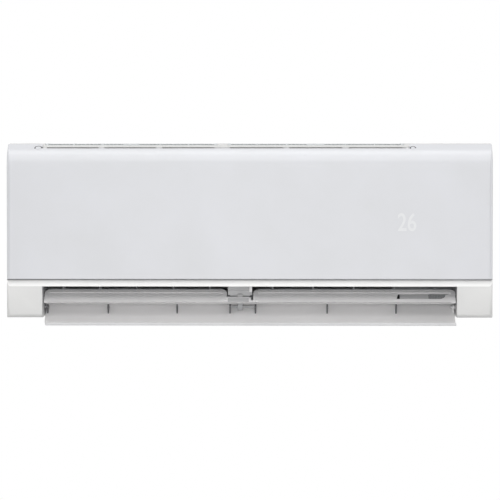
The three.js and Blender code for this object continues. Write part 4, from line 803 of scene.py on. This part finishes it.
def upper_vane():
    """A flat blade whose rear edge and ends carry a raised band, set off by a groove."""
    window = [
        (WINDOW[0], -8.4 * MM),
        (WINDOW[0] + 3 * MM, 6.2 * MM),
        (WINDOW[1] - 0.8 * MM, 6.2 * MM),
        (WINDOW[1] - 5 * MM, 3.5 * MM),
        *arc((WINDOW[1] - 20 * MM, 2.6 * MM), 11 * MM, 0, -90, 6),
    ]
    blade = vane_sheet(vane_outline(0.6 * MM), window, -1.1 * MM, 0.6 * MM, 0.5 * MM)
    middle = vane_sheet(vane_outline(8.6 * MM), window, 0.3 * MM, 1.1 * MM, 0.3 * MM)
    band = vane_sheet(vane_outline(0), vane_outline(7.4 * MM), 0, 1.8 * MM, 0.5 * MM)
    # raised on both sides of the slit, in line with the bracket's pale strip
    seam = blocks(
        0.3 * MM,
        ((SLIT - 4 * MM, SEAM_FRONT, 0), (SLIT - 0.3 * MM, NOTCH_DEPTH, 2.6 * MM)),
        ((NOTCH[1] + 0.3 * MM, SEAM_FRONT, 0), (NOTCH[1] + 4 * MM, -3 * MM, 2.6 * MM)),
    )
    # a grey wall along the notch, and the grey plate in front of it
    rim = blocks(
        0.3 * MM, ((NOTCH[0] - 1 * MM, -7.4 * MM, 0), (SLIT - 4 * MM, NOTCH_DEPTH, 4.2 * MM))
    )
    low, high = (NOTCH[0] + 2 * MM, -17.3 * MM, 1 * MM), (SLIT - 4.1 * MM, -7.2 * MM, 1.95 * MM)
    add_block(rim, low, high, 0.2 * MM)
    keep_vane("notch_rim", rim, bracket_polystyrene_and_shade)
    lip = bmesh.new()
    end, gap = LOUVER_HALF - 7 * MM, 7 * MM
    for x0, x1 in ((-end, NOTCH[0] - gap), (NOTCH[1] + gap, end)):
        low, high = (x0, VANE_REAR - 0.4 * MM, -0.9 * MM), (x1, VANE_REAR + 1.9 * MM, 2.4 * MM)
        add_block(lip, low, high, 0.3 * MM)
    keep_vane("vane_lip", lip, duct_polystyrene_and_shade)
    for extra in (middle, band, seam):
        join(blade, extra)
    keep_vane("vane_blade", blade, louver_abs)


def vane_window():
    """What fills the window: a grey cover and a grille beside it, over a black tray.

    The tray shows as a dark edge along the window's slanted end."""
    start, end = WINDOW
    low, high = (start + 5.5 * MM, -6.2 * MM, -0.9 * MM), (start + 53.5 * MM, 7.2 * MM, 0.1 * MM)
    keep_vane("window_cover", blocks(0.4 * MM, (low, high)), bracket_polystyrene_and_shade, "vane_insert")
    grille = bmesh.new()
    grille_front = -8.2 * MM
    for row in range(GRILLE_ROWS):
        y = grille_front + row * ROW_PITCH
        low, high = (start + 54 * MM, y, -0.8 * MM), (end, y + ROW_WIDTH, 0.1 * MM)
        add_block(grille, low, high, 0.1 * MM)
    for column in range(GRILLE_COLUMNS):
        x = start + 55 * MM + column * COLUMN_PITCH
        low, high = (x, grille_front, -0.9 * MM), (x + COLUMN_WIDTH, 7.4 * MM, 0)
        add_block(grille, low, high, 0.1 * MM)
    keep_vane("window_grille", grille, duct_polystyrene_and_shade, "vane_insert")
    low, high = (start - MM, -9 * MM, -2.6 * MM), (end + MM, 8 * MM, -1.9 * MM)
    keep_vane("window_tray", blocks(0.2 * MM, (low, high)), filled_polystyrene_and_shade, "vane_insert")


def vane_pins():
    """The pins that the vane turns on, at its ends and beside the centre bracket."""
    shape = bmesh.new()
    for x0, x1 in VANE_PINS:
        add_rod(shape, (vane_axis.y, vane_axis.z), 1.8 * MM, x0 * MM, x1 * MM)
    keep("vane_pins", shape, dark_acetal_and_shade, "vane_upper", ["upper_vane"])


upper_vane()
vane_window()
vane_pins()

# ------------------------------------------------------------------ outlet: duct, bracket, vanes
rounded_copy("outlet_duct", duct_polystyrene_and_shade, 0.5 * MM, where=longer_than(9 * MM))
bracket = rounded_copy(
    "centre_bracket", bracket_polystyrene_and_shade, 0.9 * MM, 3, where=longer_than(5 * MM)
)
bracket.data.materials.append(duct_polystyrene_and_shade)
# faces under the vane take the darker duct grey: painted shade
for face in bracket.data.polygons:
    face.material_index = 1 if face.center.z < vane_axis.z - 3 * MM else 0


def bracket_strip():
    """A paler strip down the bracket's right edge, where its two halves meet."""
    node = "centre_bracket"
    low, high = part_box(node)
    start = (high.x - 4.6 * MM, low.y - 0.7 * MM, high.z - 28 * MM)
    end = (high.x - 0.2 * MM, low.y + 1.5 * MM, high.z - 3 * MM)
    strip = blocks(0.6 * MM, (start, end))
    keep("bracket_strip", strip, louver_abs, body_of(node))


bracket_strip()
for side in ("left", "right"):
    for count in range(1, 6):
        rounded_copy(f"{side}_vane_{count}", duct_polystyrene_and_shade, 0.5 * MM)
    rounded_copy(f"{side}_link_bar", filled_polystyrene_and_shade, 0.5 * MM)


# ------------------------------------------------------------------ filters
FILTER_BEND = FRONT + 60 * MM  # the seat falls towards the front from here
FILTER_FALL = 0.16
FILTER_THICK = 1.7 * MM
FILTER_BORDER = 5 * MM
FILTER_COLUMNS, FILTER_ROWS = 6, 3
HALF_RIB = 1.2 * MM
NET_PITCH = 6.6 * MM  # the real threads stand 0.9 mm apart; this is as fine as the picture shows
THREAD, THREAD_THICK = 0.9 * MM, 0.4 * MM


def laid(shape):
    """Bends a shape that was drawn flat onto the bent line of the filter's seat."""
    for v in shape.verts:
        if v.co.y < FILTER_BEND:
            v.co.z -= (FILTER_BEND - v.co.y) * FILTER_FALL
    return shape


def filter_frame(node):
    """Frame, ribs and grip of one filter. The cross bars lie 0.1 mm inside the side bars' faces."""
    low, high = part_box(node)
    front, rear, under = low.y, high.y, TOP - FILTER_THICK
    bars = bmesh.new()
    for x0, x1 in ((low.x, low.x + FILTER_BORDER), (high.x - FILTER_BORDER, high.x)):
        add_block(bars, (x0, front, under), (x1, FILTER_BEND, TOP), 0.4 * MM)
        add_block(bars, (x0, FILTER_BEND, under), (x1, rear, TOP), 0.4 * MM)
    inner = FILTER_BORDER - 0.6 * MM
    for y in (front, rear - FILTER_BORDER):
        start = (low.x + inner, y, under + 0.1 * MM)
        end = (high.x - inner, y + FILTER_BORDER, TOP - 0.1 * MM)
        add_block(bars, start, end, 0.4 * MM)
    for i in range(1, FILTER_COLUMNS):
        x = low.x + (high.x - low.x) * i / FILTER_COLUMNS
        for y0, y1 in ((front, FILTER_BEND), (FILTER_BEND, rear)):
            add_block(bars, (x - HALF_RIB, y0, under), (x + HALF_RIB, y1, TOP - 0.2 * MM), 0.3 * MM)
    for i in range(1, FILTER_ROWS):
        y = front + (rear - front) * i / FILTER_ROWS
        start = (low.x + MM, y - HALF_RIB, under + 0.1 * MM)
        end = (high.x - MM, y + HALF_RIB, TOP - 0.3 * MM)
        add_block(bars, start, end, 0.3 * MM)
    grip = (low.x + high.x) / 2
    start = (grip - 14 * MM, front, TOP - 2 * MM)
    end = (grip + 14 * MM, front + 7 * MM, TOP + 0.9 * MM)
    add_block(bars, start, end, 0.8 * MM)
    keep(node + "_frame", laid(bars), filter_polypropylene, body_of(node), [node])


def filter_net(node):
    """The net in one filter, thread by thread."""
    low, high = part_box(node)
    net = bmesh.new()
    for i in range(1, int((high.x - low.x) / NET_PITCH)):
        for y0, y1 in ((low.y + MM, FILTER_BEND), (FILTER_BEND, high.y - MM)):
            middle = (low.x + i * NET_PITCH, (y0 + y1) / 2, TOP - 1.1 * MM)
            add_box(net, middle, (THREAD, y1 - y0, THREAD_THICK))
    for i in range(1, int((high.y - low.y) / NET_PITCH)):
        middle = ((low.x + high.x) / 2, low.y + i * NET_PITCH, TOP - 0.9 * MM)
        add_box(net, middle, (high.x - low.x - 2 * MM, THREAD, THREAD_THICK))
    keep(node + "_net", laid(net), filter_polypropylene, body_of(node), [node])


for node in ("left_filter", "right_filter"):
    filter_frame(node)
    filter_net(node)


# ------------------------------------------------------------------ heat exchanger
FIN_PITCH = 2.4 * MM
FIN_THICK = 0.35 * MM


def fin_pack(node):
    """Thin fins across the tubes, as many as the pack's length holds.

    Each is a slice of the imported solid."""
    low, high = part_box(node)
    middle = (low.x + high.x) / 2
    shape = cad_copy(node)
    everything = [*shape.verts, *shape.edges, *shape.faces]
    cut = bmesh.ops.bisect_plane(
        shape, geom=everything, plane_co=(middle, 0, 0), plane_no=(1, 0, 0),
        clear_inner=True, clear_outer=True,
    )["geom_cut"]
    bmesh.ops.triangle_fill(shape, use_beauty=True, edges=only(bmesh.types.BMEdge, cut))
    bmesh.ops.dissolve_limit(shape, angle_limit=NEARLY_FLAT, verts=shape.verts, edges=shape.edges)
    first = low.x + FIN_PITCH / 2
    bmesh.ops.translate(shape, verts=shape.verts, vec=(first - middle, 0, 0))
    grown = bmesh.ops.extrude_face_region(shape, geom=list(shape.faces), use_keep_orig=True)["geom"]
    bmesh.ops.translate(shape, verts=only(bmesh.types.BMVert, grown), vec=(FIN_THICK, 0, 0))
    bmesh.ops.recalc_face_normals(shape, faces=shape.faces)
    fins = keep(node + "_fins", shape, coated_aluminium, body_of(node), [node])
    row = fins.modifiers.new("row", "ARRAY")
    row.use_relative_offset = False
    row.use_constant_offset = True
    row.constant_offset_displace = (FIN_PITCH, 0, 0)
    row.count = int((high.x - low.x) / FIN_PITCH)


for pack in ("front_lower_fins", "front_upper_fins", "rear_fins"):
    fin_pack(pack)

# ------------------------------------------------------------------ the other pieces
rounded_copy("rear_casing", textured_abs, 0.9 * MM, where=longer_than(30 * MM))
for name, material, radius in (
    ("control_box", filled_polystyrene_and_shade, 0.6),
    ("control_box_cover", filled_polystyrene_and_shade, 0.5),
    ("terminal_block", filled_polystyrene_and_shade, 0.6),
    ("cord_clamp", filled_polystyrene_and_shade, 0.6),
    ("louver_motor", filled_polystyrene_and_shade, 0.6),
    ("louver_coupler", bracket_polystyrene_and_shade, 0.4),
    ("fan_motor", galvanised_steel, 1.0),
    ("motor_clamp", galvanised_steel, 0.4),
    ("fan_bearing", epdm_rubber, 0.8),
    ("drain_plug", epdm_rubber, 0.8),
    ("emergency_button", textured_abs, 0.6),
    ("display_lens", opal_polycarbonate, 0.6),
    ("wall_plate", galvanised_steel, 0.3),
    ("liquid_flare_nut", turned_brass, 0.5),
    ("gas_flare_nut", turned_brass, 0.6),
    ("left_frame_screw", galvanised_steel, 0.3),
    ("middle_frame_screw", galvanised_steel, 0.3),
    ("right_frame_screw", galvanised_steel, 0.3),
    ("room_sensor", drawn_copper, 0.4),
):
    rounded_copy(name, material, radius * MM)

# Shapes that are right as packed only get their material.
for name, material in {
    "left_end_plate": galvanised_steel,
    "right_end_plate": galvanised_steel,
    "coil_tube": drawn_copper,
    "liquid_pipe": drawn_copper,
    "gas_pipe": drawn_copper,
    "cross_flow_fan": filled_polystyrene_and_shade,
    "fan_stub_shaft": galvanised_steel,
    "motor_shaft": galvanised_steel,
    "control_board": solder_resist,
    "display_board": solder_resist,
    "button_switch": filled_polystyrene_and_shade,
}.items():
    mesh = frame["nodes"][name].data
    mesh.materials.clear()
    mesh.materials.append(material)

# Flat faces beside a small rounding keep their own direction, so they don't shade like cushions.
for piece in pieces:
    even = piece.modifiers.new("flat faces", "WEIGHTED_NORMAL")
    even.keep_sharp = True

# ------------------------------------------------------------------ floor
FLOOR_HALF = 1.9
FLOOR_LEVEL = -0.9
FLOOR_WHITE = 0.75  # share of plain white in what the camera sees of the floor


def pale_floor():
    """The floor's material: white mixed in for the camera only, and clear when seen from below."""
    material, tree, shader = blank("pale_floor")
    shader.inputs["Base Color"].default_value = linear("#D2D2D2")
    shader.inputs["Roughness"].default_value = 0.9
    matt = shader.outputs[0]
    white = add(tree, "ShaderNodeEmission", Strength=1).outputs[0]
    ray = add(tree, "ShaderNodeLightPath").outputs["Is Camera Ray"]
    share = add(tree, "ShaderNodeMath", {0: ray}, operation="MULTIPLY")
    share.inputs[1].default_value = FLOOR_WHITE
    above = add(tree, "ShaderNodeMixShader", {0: share.outputs[0], 1: matt, 2: white}).outputs[0]
    from_below = add(tree, "ShaderNodeNewGeometry").outputs["Backfacing"]
    clear = add(tree, "ShaderNodeBsdfTransparent").outputs[0]
    both = add(tree, "ShaderNodeMixShader", {0: from_below, 1: above, 2: clear})
    tree.links.new(both.outputs[0], tree.nodes["Material Output"].inputs["Surface"])
    return material


floor_shape = bmesh.new()
bmesh.ops.create_grid(floor_shape, x_segments=1, y_segments=1, size=FLOOR_HALF)
bmesh.ops.translate(floor_shape, verts=floor_shape.verts, vec=(0, 0, FLOOR_LEVEL))
floor_mesh = bpy.data.meshes.new("floor")
floor_shape.to_mesh(floor_mesh)
floor_shape.free()
floor_mesh.materials.append(pale_floor())
floor = bpy.data.objects.new("floor", floor_mesh)
scene.collection.objects.link(floor)


# ------------------------------------------------------------------ lamps and world
WORLD_FILL = 0.33  # the world's light on the unit; the camera and reflections see plain white


def soft_box(name, place, target, size, power):
    """A square lamp that faces a target, its size in metres and its power in watts."""
    lamp = bpy.data.lights.new(name, "AREA")
    lamp.shape = "SQUARE"
    lamp.size = size
    lamp.energy = power
    holder = bpy.data.objects.new(name, lamp)
    holder.location = place
    holder.rotation_euler = (Vector(target) - Vector(place)).to_track_quat("-Z", "Y").to_euler()
    scene.collection.objects.link(holder)


soft_box("key", (0, -4.4, 3.4), (0, -0.2, 0), 2.4, 74)
soft_box("front", (0, -5.4, 0.1), (0, -0.2, 0), 2.4, 82)
soft_box("overhead", (0, -1.1, 4.0), (0, -0.2, 0), 2.8, 90)
soft_box("left_side", (-3.0, -0.3, 0.3), (0, -0.1, 0), 1.0, 13)
soft_box("right_side", (3.0, -0.3, 0.3), (0, -0.1, 0), 1.0, 16)
soft_box("rear", (0, 2.9, -0.3), (0, 0, 0), 1.4, 24)

world = bpy.data.worlds.new("studio")
scene.world = world
world.use_nodes = True
sky = world.node_tree
sky.nodes.clear()
ray = add(sky, "ShaderNodeLightPath").outputs
seen = ray["Is Camera Ray"]
for other in (ray["Is Glossy Ray"], ray["Is Transmission Ray"]):
    seen = add(sky, "ShaderNodeMath", {0: seen, 1: other}, operation="MAXIMUM").outputs[0]
fill = add(sky, "ShaderNodeBackground", Color=linear("#FFFFFF"), Strength=WORLD_FILL)
white = add(sky, "ShaderNodeBackground", Color=linear("#FFFFFF"), Strength=1)
both = add(sky, "ShaderNodeMixShader", {0: seen, 1: fill.outputs[0], 2: white.outputs[0]})
add(sky, "ShaderNodeOutputWorld", {"Surface": both.outputs[0]})
